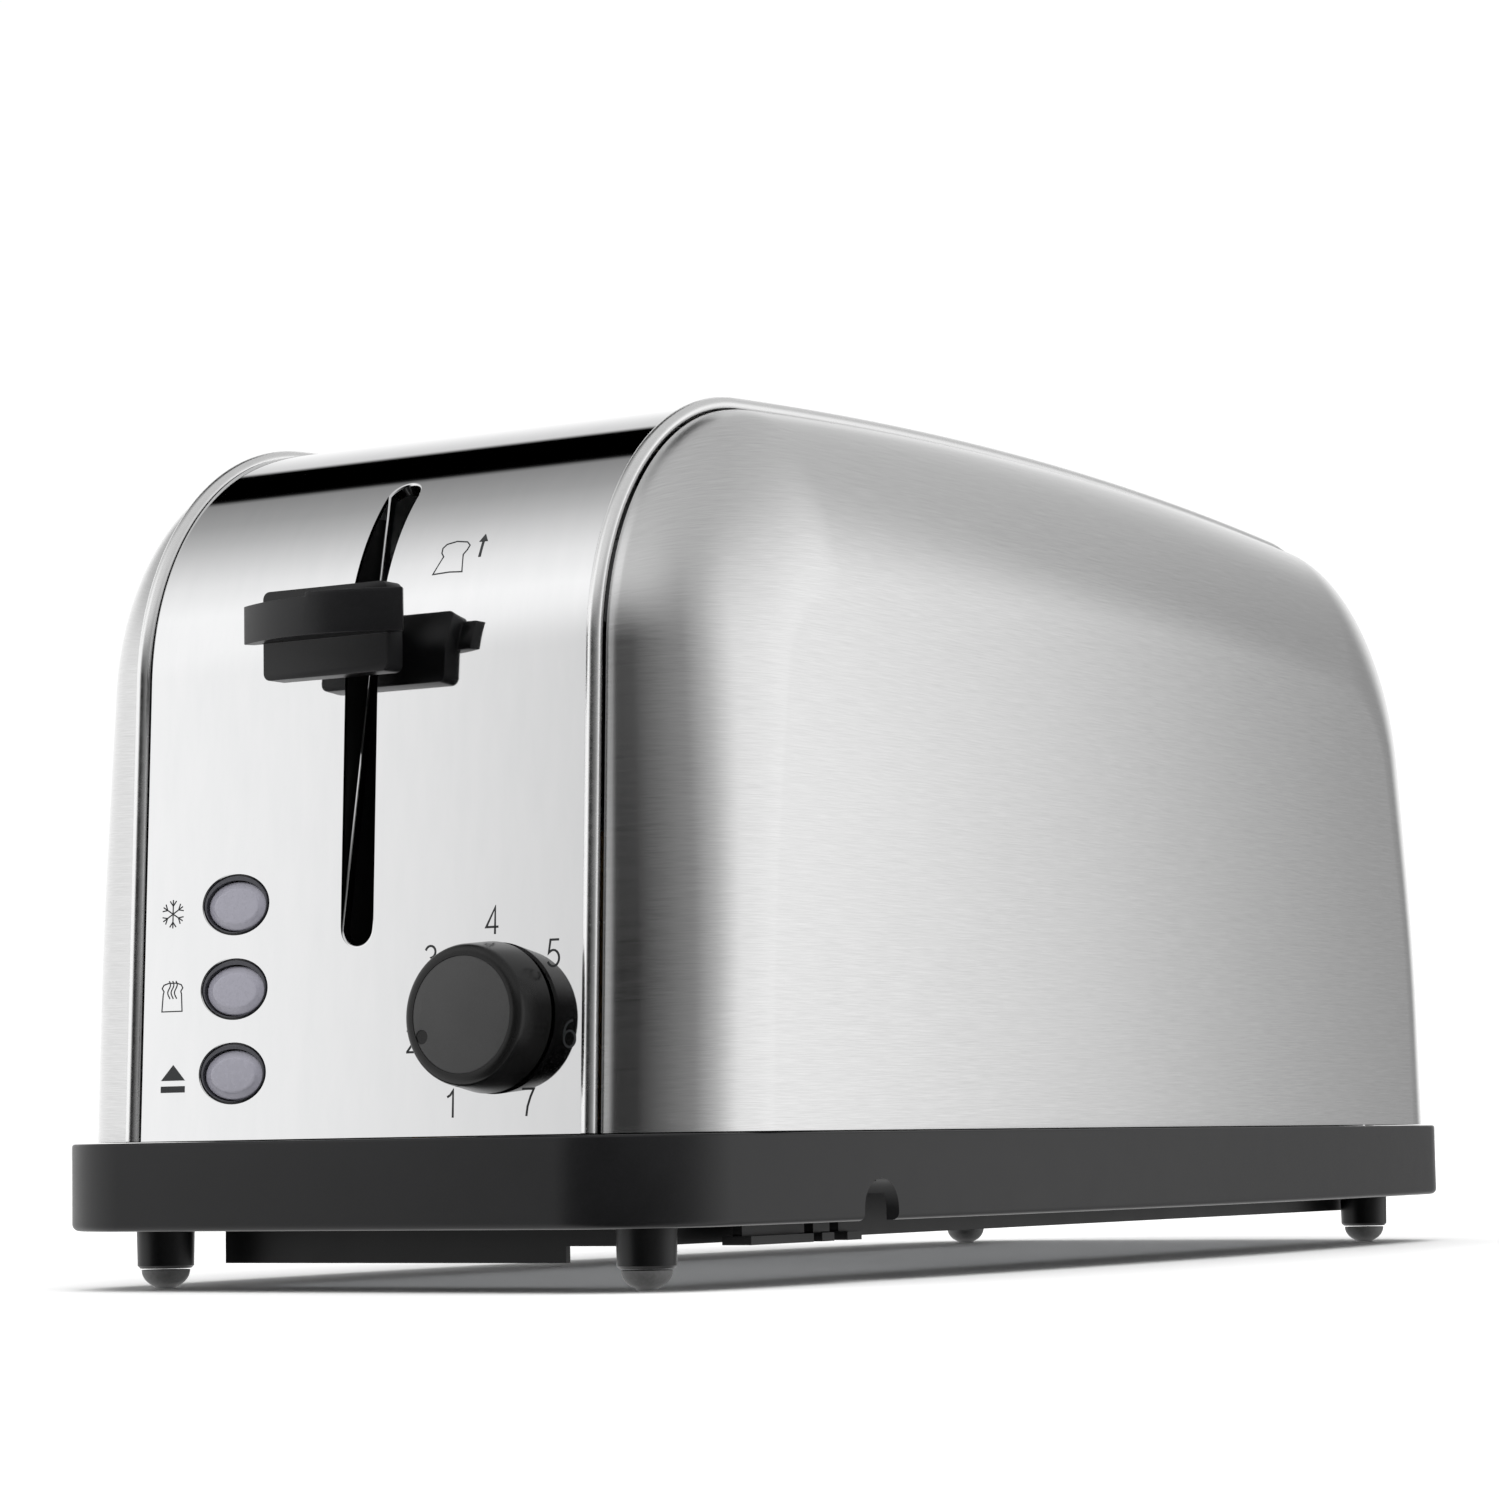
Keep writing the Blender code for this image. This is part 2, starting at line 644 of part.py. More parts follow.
def cord_gland():
    outer = lathe([(0, 15.4), (7.6, 15.4), (7.6, 17.7), (5.6, 17.7), (5.6, 24.0), (0, 24.0)], 20)
    outer.transform(Matrix.Translation((*GLAND, 0)))
    gland = add("cord_gland", outer, "black_plastic", smooth=True)
    cut(gland, cylinder("Z", *GLAND, 3.4, 12, 28, 16))


# ---- Toasting chamber


def end_plates():
    half, thick = CHAMBER_HALF_WIDTH, SHEET
    low, high = FLOOR_HIGH_Z + GAP, CHAMBER_HIGH_Z
    front = add(
        "end_plate_front",
        boxes(((-half, CHAMBER_FRONT_Y, low), (half, CHAMBER_FRONT_Y + thick, high))),
        "galvanised_steel",
    )
    slots = []
    for x in (-SLOT_X, SLOT_X):
        slots.append(boxes(((x - 3.2, CHAMBER_FRONT_Y - 3, 27), (x + 3.2, CHAMBER_FRONT_Y + 3, 114))))
    cut(front, merged(*slots))
    add(
        "end_plate_rear",
        boxes(((-half, CHAMBER_BACK_Y, low), (half, CHAMBER_BACK_Y + thick, high))),
        "galvanised_steel",
    )
    top = boxes(
        *[
            ((x0, CHAMBER_FRONT_Y, high + GAP), (x1, CHAMBER_BACK_Y + thick, high + GAP + thick))
            for x0, x1 in ((-half, -45.5), (-8.5, 8.5), (45.5, half))
        ],
        *[
            ((-half, y0, high + GAP), (half, y1, high + GAP + thick))
            for y0, y1 in ((CHAMBER_FRONT_Y, SLOT_FRONT_Y - 1), (SLOT_BACK_Y + 1, CHAMBER_BACK_Y + thick))
        ],
    )
    add("chamber_top_plate", top, "galvanised_steel")


def chamber_y():
    return CHAMBER_FRONT_Y + SHEET + GAP, CHAMBER_BACK_Y - GAP


def heaters():
    front, back = chamber_y()
    for name, side in (("left", -1), ("right", 1)):
        xs = sorted((side * REFLECTOR_X, side * (REFLECTOR_X + SHEET)))
        plate = boxes(((xs[0], front, 24), (xs[1], back, CHAMBER_HIGH_Z - GAP)))
        add(f"reflector_{name}", plate, "galvanised_steel")
        xs = sorted((side * OUTER_CARD_X, side * (OUTER_CARD_X + CARD_THICKNESS)))
        card = boxes(((xs[0], front, 27), (xs[1], back, 172)))
        add(f"heater_card_{name}", card, "mica")
        inner = side * (OUTER_CARD_X - GAP)
        heating_wire(f"heating_wire_{name}_outer", inner, inner - side * WIRE_THICKNESS)
        centre = side * (CARD_THICKNESS / 2 + GAP)
        heating_wire(f"heating_wire_{name}_inner", centre, centre + side * WIRE_THICKNESS)
    half = CARD_THICKNESS / 2
    add("heater_card_centre", boxes(((-half, front, 27), (half, back, 172))), "mica")


def heating_wire(name, x0, x1, runs=14, ribbon=2.2):
    """A flat ribbon that goes up and down the mica card."""
    low_x, high_x = sorted((x0, x1))
    pitch = (SLOT_BACK_Y - SLOT_FRONT_Y - 16) / (runs - 1)
    start = SLOT_FRONT_Y + 8
    low_z, high_z = 36.0, 162.0
    parts = []
    for i in range(runs):
        y = start + pitch * i
        parts.append(((low_x, y - ribbon / 2, low_z), (high_x, y + ribbon / 2, high_z)))
        if i + 1 < runs:
            z = high_z - ribbon if i % 2 == 0 else low_z
            parts.append(((low_x, y - ribbon / 2, z), (high_x, y + pitch + ribbon / 2, z + ribbon)))
    add(name, boxes(*parts), "nichrome")


def bread_guides():
    front, back = SLOT_FRONT_Y - 3, SLOT_BACK_Y + 3
    lines = 12
    uprights = [front + (back - front) * i / (lines - 1) for i in range(lines)]
    rails = [31.0, 169.0]
    for name, side in (("left", -1), ("right", 1)):
        for place, x in (("outer", GUIDE_OUTER_X), ("inner", GUIDE_INNER_X)):
            low_x = x if side > 0 else -x - GUIDE_WIRE
            guide = lattice(low_x, uprights, rails, GUIDE_WIRE)
            add(f"bread_guide_{name}_{place}", guide, "galvanised_steel", (low_x, 0, 100))


# ---- Carriage


def carriage():
    for name, side in (("left", -1), ("right", 1)):
        middle = side * SLOT_X
        spine_end = (middle + 1.5, CHAMBER_BACK_Y - 6, RACK_HIGH_Z - 1)
        spine = ((middle - 1.5, CARRIAGE_Y + 8.0, RACK_LOW_Z), spine_end)
        tabs = []
        count = 11
        for i in range(count):
            y = SLOT_FRONT_Y + 6 + (SLOT_BACK_Y - SLOT_FRONT_Y - 12) * i / (count - 1)
            tabs.append(((middle - 9, y - 2, RACK_HIGH_Z - 2), (middle + 9, y + 2, RACK_HIGH_Z)))
        add(f"bread_rack_{name}", boxes(spine, *tabs), "galvanised_steel", (middle, 0, RACK_HIGH_Z))

    plate = boxes(
        ((-38, CARRIAGE_Y + 6.3, RACK_LOW_Z), (38, CARRIAGE_Y + 7.7, LEVER_Z + 4)),
        ((-46, CARRIAGE_Y + 6.3, RACK_LOW_Z), (46, CARRIAGE_Y + 7.7, RACK_LOW_Z + 14)),
    )
    add("carriage_plate", plate, "galvanised_steel", (0, CARRIAGE_Y, LEVER_Z))

    block = boxes(((-32, CARRIAGE_Y - 6, 97), (32, CARRIAGE_Y + 6, LEVER_Z + 6)))
    slider = add("carriage_slider", block, "black_plastic", (0, CARRIAGE_Y, LEVER_Z))
    bores = [cylinder("Z", side * ROD_X, CARRIAGE_Y, ROD_RADIUS + 0.4, 90, 150) for side in (-1, 1)]
    window = boxes(((-16, CARRIAGE_Y - 10, 102), (16, CARRIAGE_Y + 10, 122)))
    cut(slider, merged(window, *bores))

    armature = boxes(((-10, CARRIAGE_Y - 6, 94.4), (10, CARRIAGE_Y + 5, 96.7)))
    add("latch_armature", armature, "galvanised_steel", (0, CARRIAGE_Y, LEVER_Z))

    arm = boxes(((-1.6, HANDLE_BACK_Y + GAP, LEVER_Z - 6), (1.6, CARRIAGE_Y - 6 - GAP, LEVER_Z + 6)))
    add("lever_arm", arm, "galvanised_steel", (0, CARRIAGE_Y, LEVER_Z))
    lever_handle()
    return_spring()


def lever_handle():
    """Back plate with round ends, and the wider bowed finger grip in front of it."""
    back = HANDLE_BACK_Y
    wide = HANDLE_HALF_WIDTH
    plate = prism(rounded(-wide, wide, -9.2, 9.2, 1.4), "Y", back - HANDLE_PLATE, back)
    plate.transform(Matrix.Translation((0, 0, LEVER_Z)))
    handle = add("lever_handle", plate, "black_plastic", (0, CARRIAGE_Y, LEVER_Z), smooth=True)
    half, steps = GRIP_HALF_WIDTH, 12
    rear = back - HANDLE_PLATE + GAP
    front = []
    for i in range(steps + 1):
        share = 2 * i / steps - 1
        front.append((share * half, rear - GRIP_REACH - GRIP_BOW * (1 - share * share)))
    outline = [(half - 1.2, rear), (-half + 1.2, rear)] + front
    grip = prism(outline, "Z", LEVER_Z - 1.4, LEVER_Z + 7.4)
    cut(handle, grip, "UNION")


def rounded(x0, x1, y0, y1, radius, steps=3):
    """A rectangle with round corners."""
    points = []
    for x, y, start in ((x1, y1, 0), (x0, y1, 0.5), (x0, y0, 1), (x1, y0, 1.5)):
        centre_x = x - math.copysign(radius, x - (x0 + x1) / 2)
        centre_y = y - math.copysign(radius, y - (y0 + y1) / 2)
        for i in range(steps + 1):
            turn = math.pi * (start + 0.5 * i / steps)
            points.append((centre_x + radius * math.cos(turn), centre_y + radius * math.sin(turn)))
    return points


def return_spring():
    """A helix that pulls the carriage up to the bracket."""
    turns, per_turn, radius, wire = 7, 8, 3.6, 0.6
    low, high = LEVER_Z + 6 + GAP + wire, 171.7 - wire
    count = turns * per_turn
    path = []
    for i in range(count + 1):
        turn = math.tau * i / per_turn
        height = low + (high - low) * i / count
        path.append(Vector((radius * math.cos(turn), CARRIAGE_Y + radius * math.sin(turn), height)))
    rings = []
    for i, point in enumerate(path):
        ahead = (path[min(i + 1, count)] - path[max(i - 1, 0)]).normalized()
        out = Vector((point.x, point.y - CARRIAGE_Y, 0)).normalized()
        up = ahead.cross(out)
        rings.append([point + out * a + up * b for a, b in ellipse(0, 0, wire, wire, 4)])
    add("return_spring", loft(rings), "galvanised_steel", (0, CARRIAGE_Y, 172))


def carriage_guides():
    for name, side in (("left", -1), ("right", 1)):
        rod = cylinder("Z", side * ROD_X, CARRIAGE_Y, ROD_RADIUS, FLOOR_HIGH_Z + GAP, 171.7, 20)
        add(f"guide_rod_{name}", rod, "galvanised_steel", smooth=True)
    back = CHAMBER_FRONT_Y - GAP
    bracket = boxes(((-34, -161.5, 172), (34, back, 173.2)), ((-34, back - 1.2, 158), (34, back, 173.2)))
    add("guide_bracket", bracket, "galvanised_steel")


def latch_magnet():
    floor = FLOOR_HIGH_Z + GAP
    y0, y1 = CARRIAGE_Y - 6, CARRIAGE_Y + 5
    core = boxes(
        ((-9, y0, floor), (9, y1, floor + 2.5)),
        ((-9, y0, floor), (-6.5, y1, 38.4)),
        ((6.5, y0, floor), (9, y1, 38.4)),
        ((-2, y0 + 2, floor), (2, y1 - 2, 38.4)),
    )
    add("latch_magnet", core, "galvanised_steel")
    low, high = floor + 2.5 + GAP, 37.5
    coil = boxes(((-6.0, y0 - 1, low), (6.0, y1 + 1, high)))
    winding = add("magnet_coil", coil, "copper")
    cut(winding, boxes(((-2.3, y0 + 1.7, low - 2), (2.3, y1 - 1.7, high + 2))))


def slot_liner():
    """Channel behind the lever slot, open towards the slot and towards the carriage."""
    low, back = LINER_LOW_Z, LINER_BACK_Y
    face = arch(SHELL_INSET + SHEET + GAP)
    front = [(y, z) for y, z in face if y < back - 1 and low < z < CORNER_CENTRE.y + CORNER_RADIUS]
    lean = (low - SHELL_FOOT_Z) * math.tan(LEAN)
    foot = (face[0][0] + lean, low)
    outline = [foot, *front, (back, front[-1][1]), (back, low)]
    walls = [prism(outline, "X", *span) for span in ((-5.8, -5.0), (5.0, 5.8))]
    floor = boxes(((-5.4, foot[0] + 1.0, low), (5.4, back, low + SHEET)))
    liner = add("slot_liner", walls[0], "black_plastic")
    cut(liner, merged(floor), "UNION")
    cut(liner, walls[1], "UNION")


# ---- Controls and wiring


def control_board():
    switches = []
    for z in BUTTONS.values():
        middle = z - KNOB_Z
        switches.append(((BUTTON_X - 3, middle - 3, -15.4), (BUTTON_X + 3, middle + 3, -13.6)))
    board = boxes(
        ((-50, -20, -17.0), (50, 12, -15.4)),
        ((-50, 12, -17.0), (-8, 38, -15.4)),
        ((8, 12, -17.0), (50, 38, -15.4)),
        *switches,
        ((20, 22, -15.4), (34, 32, -9.0)),
        ((-14, -16, -15.4), (2, -8, -11.0)),
    )
    add("control_board", on_front(board, 0, KNOB_Z), "circuit_board")
    can = lathe([(0, -15.1), (8, -15.1), (8, -8.6), (4, -8.4), (4, -7.2), (0, -7.2)], 20)
    add("browning_control", on_front(can, KNOB_X, KNOB_Z), "galvanised_steel", smooth=True)


def browning_knob():
    origin = front_face(KNOB_X, KNOB_Z).translation
    shaft = lathe([(0, -6.9), (3.0, -6.9), (3.0, 6.6), (0, 6.6)], 16)
    add("knob_shaft", on_front(shaft, KNOB_X, KNOB_Z), "galvanised_steel", origin, smooth=True)
    rear, face, length = KNOB_REAR_RADIUS, KNOB_FACE_RADIUS, KNOB_LENGTH
    profile = [(0, 0.8), (rear - 0.4, 0.8), (rear, 1.2), (face + 0.1, length - 1.5)]
    profile += [(face - 0.35, length - 0.75), (face - 1.7, length), (0, length)]
    body = on_front(lathe(profile, 40), KNOB_X, KNOB_Z)
    knob = add("browning_knob", body, "black_plastic", origin, smooth=True)
    bore = on_front(cylinder("Z", 0, 0, 3.3, -1, 7.0, 16), KNOB_X, KNOB_Z)
    across = -POINTER_RADIUS * math.sin(POINTER_ANGLE)
    up = POINTER_RADIUS * math.cos(POINTER_ANGLE)
    dimple = lathe([(0, length - 1.1), (0.7, length - 0.9), (1.35, length + 0.6), (0, length + 0.6)], 12)
    dimple.transform(Matrix.Translation((across, up, 0)))
    cut(knob, merged(bore, on_front(dimple, KNOB_X, KNOB_Z)))


def buttons():
    wide, tall = BUTTON_HOLE
    carrier = on_front(prism(rounded(-11.5, 11.5, -23, 31, 2), "Z", -3.6, -SHEET - GAP), BUTTON_X, 58.5)
    frame = add("button_frame", carrier, "black_plastic", smooth=True)
    collars, bores = [], []
    for z in BUTTONS.values():
        collar = prism(ellipse(0, 0, wide - 0.3, tall - 0.3), "Z", -2.5, 0.1)
        collars.append(on_front(collar, BUTTON_X, z))
        bore = prism(ellipse(0, 0, wide - 1.0, tall - 1.0), "Z", -6, 3)
        bores.append(on_front(bore, BUTTON_X, z))
    cut(frame, merged(*collars), "UNION")
    cut(frame, merged(*bores))
    for name, z in BUTTONS.items():
        rings = []
        for height, inset in ((-6.0, 1.3), (-1.2, 1.3), (-0.5, 1.6), (-0.4, 3.0)):
            rings.append([(x, y, height) for x, y in ellipse(0, 0, wide - inset, tall - inset)])
        cap = loft(rings)
        origin = front_face(BUTTON_X, z).translation
        button = add(name, on_front(cap, BUTTON_X, z), "smoke_plastic", origin, smooth=True)
        cut(button, on_front(cylinder("Z", 0, 0, 1.6, -10.8, -5.0, 12), BUTTON_X, z), "UNION")


def electrics():
    floor = FLOOR_HIGH_Z + GAP
    switch = boxes(
        ((-46, -164, floor), (-33, -152, 34)),
        ((-43, -162, 34), (-41.5, -154, 38.5)),
        ((-38, -162, 34), (-36.5, -154, 38.5)),
    )
    add("mains_switch", switch, "black_plastic")
    block = boxes(
        ((38, -168, floor), (54, -154, 30)),
        *[((39.5 + 5 * i, -165, 30), (42.5 + 5 * i, -157, 33)) for i in range(3)],
    )
    add("terminal_block", block, "black_plastic")


def build():
    base_frame()
    feet()
    crumb_tray()
    cord_gland()
    base_screws()
    centre_band()
    for name, side in (("left", -1), ("right", 1)):
        side_panel(f"side_panel_{name}", side)
        edge_bead(f"edge_bead_{name}", side)
    end_plates()
    heaters()
    bread_guides()
    carriage()
    carriage_guides()
    latch_magnet()
    slot_liner()
    control_board()
    browning_knob()
    buttons()
    electrics()


clear_scene()
ROOT = bpy.data.objects.new("toaster", None)
bpy.context.scene.collection.objects.link(ROOT)
ROOT.location = (0.0, -(FRONT_Y + BASE_HALF_LENGTH) / 2 * MM, 0.0)
build()
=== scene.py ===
"""Looks of the long-slot pop-up toaster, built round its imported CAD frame.

Shapes are built in millimetres in the design frame: X across, Y from the control end to the back,
Z up from the surface that it stands on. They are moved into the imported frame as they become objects.
"""

import math

import bmesh
import bpy
import numpy as np
from mathutils import Matrix, Vector
from mathutils.geometry import delaunay_2d_cdt

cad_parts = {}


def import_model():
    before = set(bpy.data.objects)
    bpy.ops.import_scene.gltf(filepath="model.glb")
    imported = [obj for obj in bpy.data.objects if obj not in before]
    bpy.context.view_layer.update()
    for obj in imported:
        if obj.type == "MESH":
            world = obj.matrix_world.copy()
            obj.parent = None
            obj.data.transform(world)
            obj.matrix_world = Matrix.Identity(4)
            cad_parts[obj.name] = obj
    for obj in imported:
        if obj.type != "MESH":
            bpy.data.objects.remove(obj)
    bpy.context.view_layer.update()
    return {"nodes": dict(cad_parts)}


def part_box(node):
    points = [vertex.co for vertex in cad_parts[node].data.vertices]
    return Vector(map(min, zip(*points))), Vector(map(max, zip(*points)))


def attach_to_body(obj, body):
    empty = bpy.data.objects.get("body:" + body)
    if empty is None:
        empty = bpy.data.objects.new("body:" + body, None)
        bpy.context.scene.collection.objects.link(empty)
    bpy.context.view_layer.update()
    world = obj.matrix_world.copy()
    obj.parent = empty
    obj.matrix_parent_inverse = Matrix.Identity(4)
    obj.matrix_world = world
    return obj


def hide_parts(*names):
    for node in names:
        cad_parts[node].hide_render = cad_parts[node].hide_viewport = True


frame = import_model()

MM = 0.001
BASE_HALF_LENGTH = 200.9
BASE_HALF_WIDTH = 90.0
BASE_SIDE_RADIUS = 1744.0
BASE_CORNER_RADIUS = 26.3
SHIFT_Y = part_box("base_frame")[1].y / MM - BASE_HALF_LENGTH
TO_FRAME = Matrix.Scale(MM, 4) @ Matrix.Translation((0, SHIFT_Y, 0))

# ---- Sizes, the same as the CAD's
HEIGHT = 190.0
FOOT_Z = 31.1
HALF_LENGTH = 194.0
LEAN = math.radians(2.45)
CORNER_RADIUS = 59.6
CROWN_RADIUS = 1990.0
SHEET = 0.8
SHELL_INSET = 1.6
PANEL_INSET = 2.9
BEAD_X = 57.5
BEAD_RADIUS = 1.7
BAND_HALF_WIDTH = 55.5
PANEL_EDGE_X = 59.5
LEVER_Z = 134.0
HANDLE_BACK_Y, HANDLE_PLATE = -195.5, 5.3
HANDLE_HALF_WIDTH, HANDLE_HALF_HEIGHT = 15.8, 9.2
GRIP_HALF_WIDTH, GRIP_REACH, GRIP_BOW = 20.2, 1.0, 5.8
KNOB_X, KNOB_Z = 34.0, 54.5
KNOB_REAR_RADIUS, KNOB_FACE_RADIUS, KNOB_LENGTH = 15.2, 14.1, 10.8
KNOB_RECESS_RADIUS = 11.75
DIMPLE_RADIUS, DIMPLE_DEGREES = 10.4, 114.0
BUTTON_X = -31.5
BUTTONS = {"button_defrost": 80.0, "button_reheat": 62.4, "button_cancel": 44.9}
COLLAR_RADII = (8.25, 5.95)
CAP_HOLE_RADII = (7.85, 5.4)
CAP_RINGS = [(7.65, 5.2, -6.0), (7.65, 5.2, -0.95), (7.55, 5.1, -0.66), (7.25, 4.85, -0.50),
             (6.3, 4.0, -0.42), (6.0, 3.75, -0.22), (5.7, 3.5, -0.12), (5.2, 3.2, -0.10)]
FOOT_X, FOOT_Y = 61.0, 177.5
FOOT_RADIUS = 5.15

# ---- Underside of the base
SKIRT_LOW_Z, SKIRT_HIGH_Z = 12.5, 30.8
SKIRT_LOW_ROUND, SKIRT_HIGH_ROUND = 1.5, 0.6
BASE_HOLLOWS = [(3.0, 7.5, 18.0), (3.0, 20.5, 27.8), (13.0, 26.8, 35.8)]
FOOT_POST = [(0, 4.3), (5.4, 4.3), (6.0, 4.9), (6.3, 19.0), (0, 19.0)]
CHANNEL_X, CHANNEL_INNER_X, CHANNEL_RAIL_X = 54, 52.5, 49
CHANNEL_LOW_Z, CHANNEL_TOP_Z = 8.4, 19
CORD_HOOKS = [(-146.0, -121.0), (-117.5, -112.5), (-107.0, -101.0)]
NOTCH_Y, NOTCH_Z, NOTCH_RADIUS, NOTCH_MOUTH_Z = -126, 14.95, 6.25, 9
SCREW_HEAD = [(0, 14.6), (2.6, 14.6), (3.3, 14.8), (3.8, 15.5), (3.8, 17.6), (1.9, 17.7), (1.9, 27.0), (0, 27.0)]
SCREW_SPOTS = [(x, y) for x in (-70.0, 70.0) for y in (-60.0, 110.0)]
LEVER_SLOT_LOW_Z, LEVER_SLOT_HIGH_Z = 70.3, 168.0
BREAD_SLOT_FRONT_Y, BREAD_SLOT_BACK_Y = -125.0, 135.0
BREAD_SLOT_X, BREAD_SLOT_HALF_WIDTH = 27.0, 17.5

# ---- Edges and shading
SHARP_DEGREES = 32.0
BEVEL_ANGLE = math.radians(38)
BEVEL_SEGMENTS = 3
BEAD_SIDES = 24

# ---- The round of a side panel, between its edge and its flat
PANEL_LOW_Z, PANEL_RISE = 60.0, 125.0
PANEL_DEPTH, PANEL_DEPTH_LOST = 21.2, 2.2
PANEL_ROUND, PANEL_ROUND_GAINED = 28.5, 11.5
PANEL_POWER = 2.1
PANEL_SWELL = 5.0
PANEL_STEPS = 30
PANEL_MERGE_Z = 112.0

# ---- Printed marks
INK_LIFT = 0.05
THIN_LINE, SLICE_LINE, ARROW_LINE, NUMERAL_LINE = 0.26, 0.28, 0.65, 0.46
NUMERAL_HEIGHT = 5.4
NUMERAL_X, NUMERAL_RADIUS = 33.7, 19.4
NUMERAL_PITCH = 50.5
FROST_AT, REHEAT_AT, CANCEL_AT = (-48.2, 78.7), (-47.9, 61.2), (-47.2, 44.3)
SLICE_AT, ARROW_AT = (19.8, 149.4), (26.6, 151.2)

# ---- Studio, in metres and degrees
FLOOR_REACH = 60.0
CAMERA_ANGLES = (31.43, 5.34, -0.94)
CAMERA_PLACE = (0.5223, -0.8868, 0.0278)
SENSOR_WIDTH = 36.0
LENS = 102.096
SUN_STRENGTH, SUN_ANGLE = 2.9, 1.1


# ---- The arch of the shell: stations of (y, z, normal y, normal z) from front foot to back foot


def arch_stations(leg, corner, crown):
    normal = np.array([math.cos(LEAN), math.sin(LEAN)])
    along = np.array([-normal[1], normal[0]])
    reach = normal @ np.array([HALF_LENGTH, FOOT_Z]) - CORNER_RADIUS
    start = normal * reach - np.array([0, HEIGHT - CROWN_RADIUS])
    slope = start @ along
    rise = -slope + math.sqrt(slope * slope + (CROWN_RADIUS - CORNER_RADIUS) ** 2 - start @ start)
    centre = normal * reach + along * rise
    end = math.atan2(centre[1] - HEIGHT + CROWN_RADIUS, centre[0])
    spring = centre + CORNER_RADIUS * normal
    foot = np.array([spring[0] + (spring[1] - FOOT_Z) * math.tan(LEAN), FOOT_Z])
    half = [(*(foot + (spring - foot) * i / leg), *normal) for i in range(leg)]
    for i in range(corner):
        turn = LEAN + (end - LEAN) * i / corner
        ray = np.array([math.cos(turn), math.sin(turn)])
        half.append((*(centre + CORNER_RADIUS * ray), *ray))
    for i in range(crown + 1):
        turn = end + (math.pi / 2 - end) * i / crown
        ray = np.array([math.cos(turn), math.sin(turn)])
        half.append((CROWN_RADIUS * ray[0], HEIGHT - CROWN_RADIUS + CROWN_RADIUS * ray[1], *ray))
    back = np.array(half)
    return np.vstack([back[:-1] * [-1, 1, -1, 1], back[::-1]]), centre[1]


def moved_in(stations, inset):
    points = stations[:, :2] - stations[:, 2:] * inset
    points[:, 1] = np.maximum(points[:, 1], FOOT_Z)
    return points


TABLE, CORNER_Z = arch_stations(40, 300, 300)
PROFILE = moved_in(TABLE, SHELL_INSET)
ARC = np.concatenate([[0], np.cumsum(np.linalg.norm(np.diff(PROFILE, axis=0), axis=1))])
TOP = len(ARC) // 2


def arc_at_z(z):
    return float(np.interp(z, PROFILE[: TOP + 1, 1], ARC[: TOP + 1]))


def arc_at_y(y):
    return float(np.interp(y, PROFILE[:, 0], ARC))


def band_point(x, arc, out=0.0):
    """A point on the band's outer face, or out from it, and the way out there."""
    y, z = (float(np.interp(arc, ARC, PROFILE[:, k])) for k in (0, 1))
    normal = Vector((0, *(float(np.interp(arc, ARC, TABLE[:, k])) for k in (2, 3)))).normalized()
    return Vector((x, y, z)) + normal * out, normal


def on_front(x, z):
    """A frame on the band's front: local X across, Y up it, Z out of it."""
    turn = Matrix.Rotation(math.pi / 2 - LEAN, 4, "X")
    return Matrix.Translation(band_point(x, arc_at_z(z))[0]) @ turn


# ---- Materials


def nodes_of(name):
    made = bpy.data.materials.new(name)
    made.use_nodes = True
    tree = made.node_tree
    return made, tree, tree.nodes["Principled BSDF"]


def add_node(tree, kind, **settings):
    node = tree.nodes.new(kind)
    for key, value in settings.items():
        if hasattr(node, key):
            setattr(node, key, value)
        else:
            node.inputs[key].default_value = value
    return node


def place(tree, scale, source="Object"):
    coordinates = add_node(tree, "ShaderNodeTexCoord")
    mapping = add_node(tree, "ShaderNodeMapping", Scale=scale)
    tree.links.new(coordinates.outputs[source], mapping.inputs["Vector"])
    return mapping.outputs["Vector"]


def noise(tree, scale, detail=3.0, source="Object", rough=0.55):
    made = add_node(tree, "ShaderNodeTexNoise", Detail=detail, Roughness=rough, Scale=1.0)
    tree.links.new(place(tree, scale, source), made.inputs["Vector"])
    return made.outputs["Fac"]


def ramp(tree, value, stops):
    made = add_node(tree, "ShaderNodeValToRGB")
    tree.links.new(value, made.inputs["Fac"])
    elements = made.color_ramp.elements
    elements[0].position, elements[0].color = stops[0][0], grey(stops[0][1])
    elements[1].position, elements[1].color = stops[-1][0], grey(stops[-1][1])
    for position, shade in stops[1:-1]:
        elements.new(position).color = grey(shade)
    return made.outputs["Color"]


def grey(shade):
    return (shade, shade, shade, 1) if isinstance(shade, (int, float)) else (*shade, 1)


def bump(tree, shader, heights, strength=1.0):
    """Bumps one after another; each is (height socket, depth in metres)."""
    last = None
    for height, depth in heights:
        node = add_node(tree, "ShaderNodeBump", Strength=strength, Distance=depth)
        tree.links.new(height, node.inputs["Height"])
        if last:
            tree.links.new(last, node.inputs["Normal"])
        last = node.outputs["Normal"]
    tree.links.new(last, shader.inputs["Normal"])


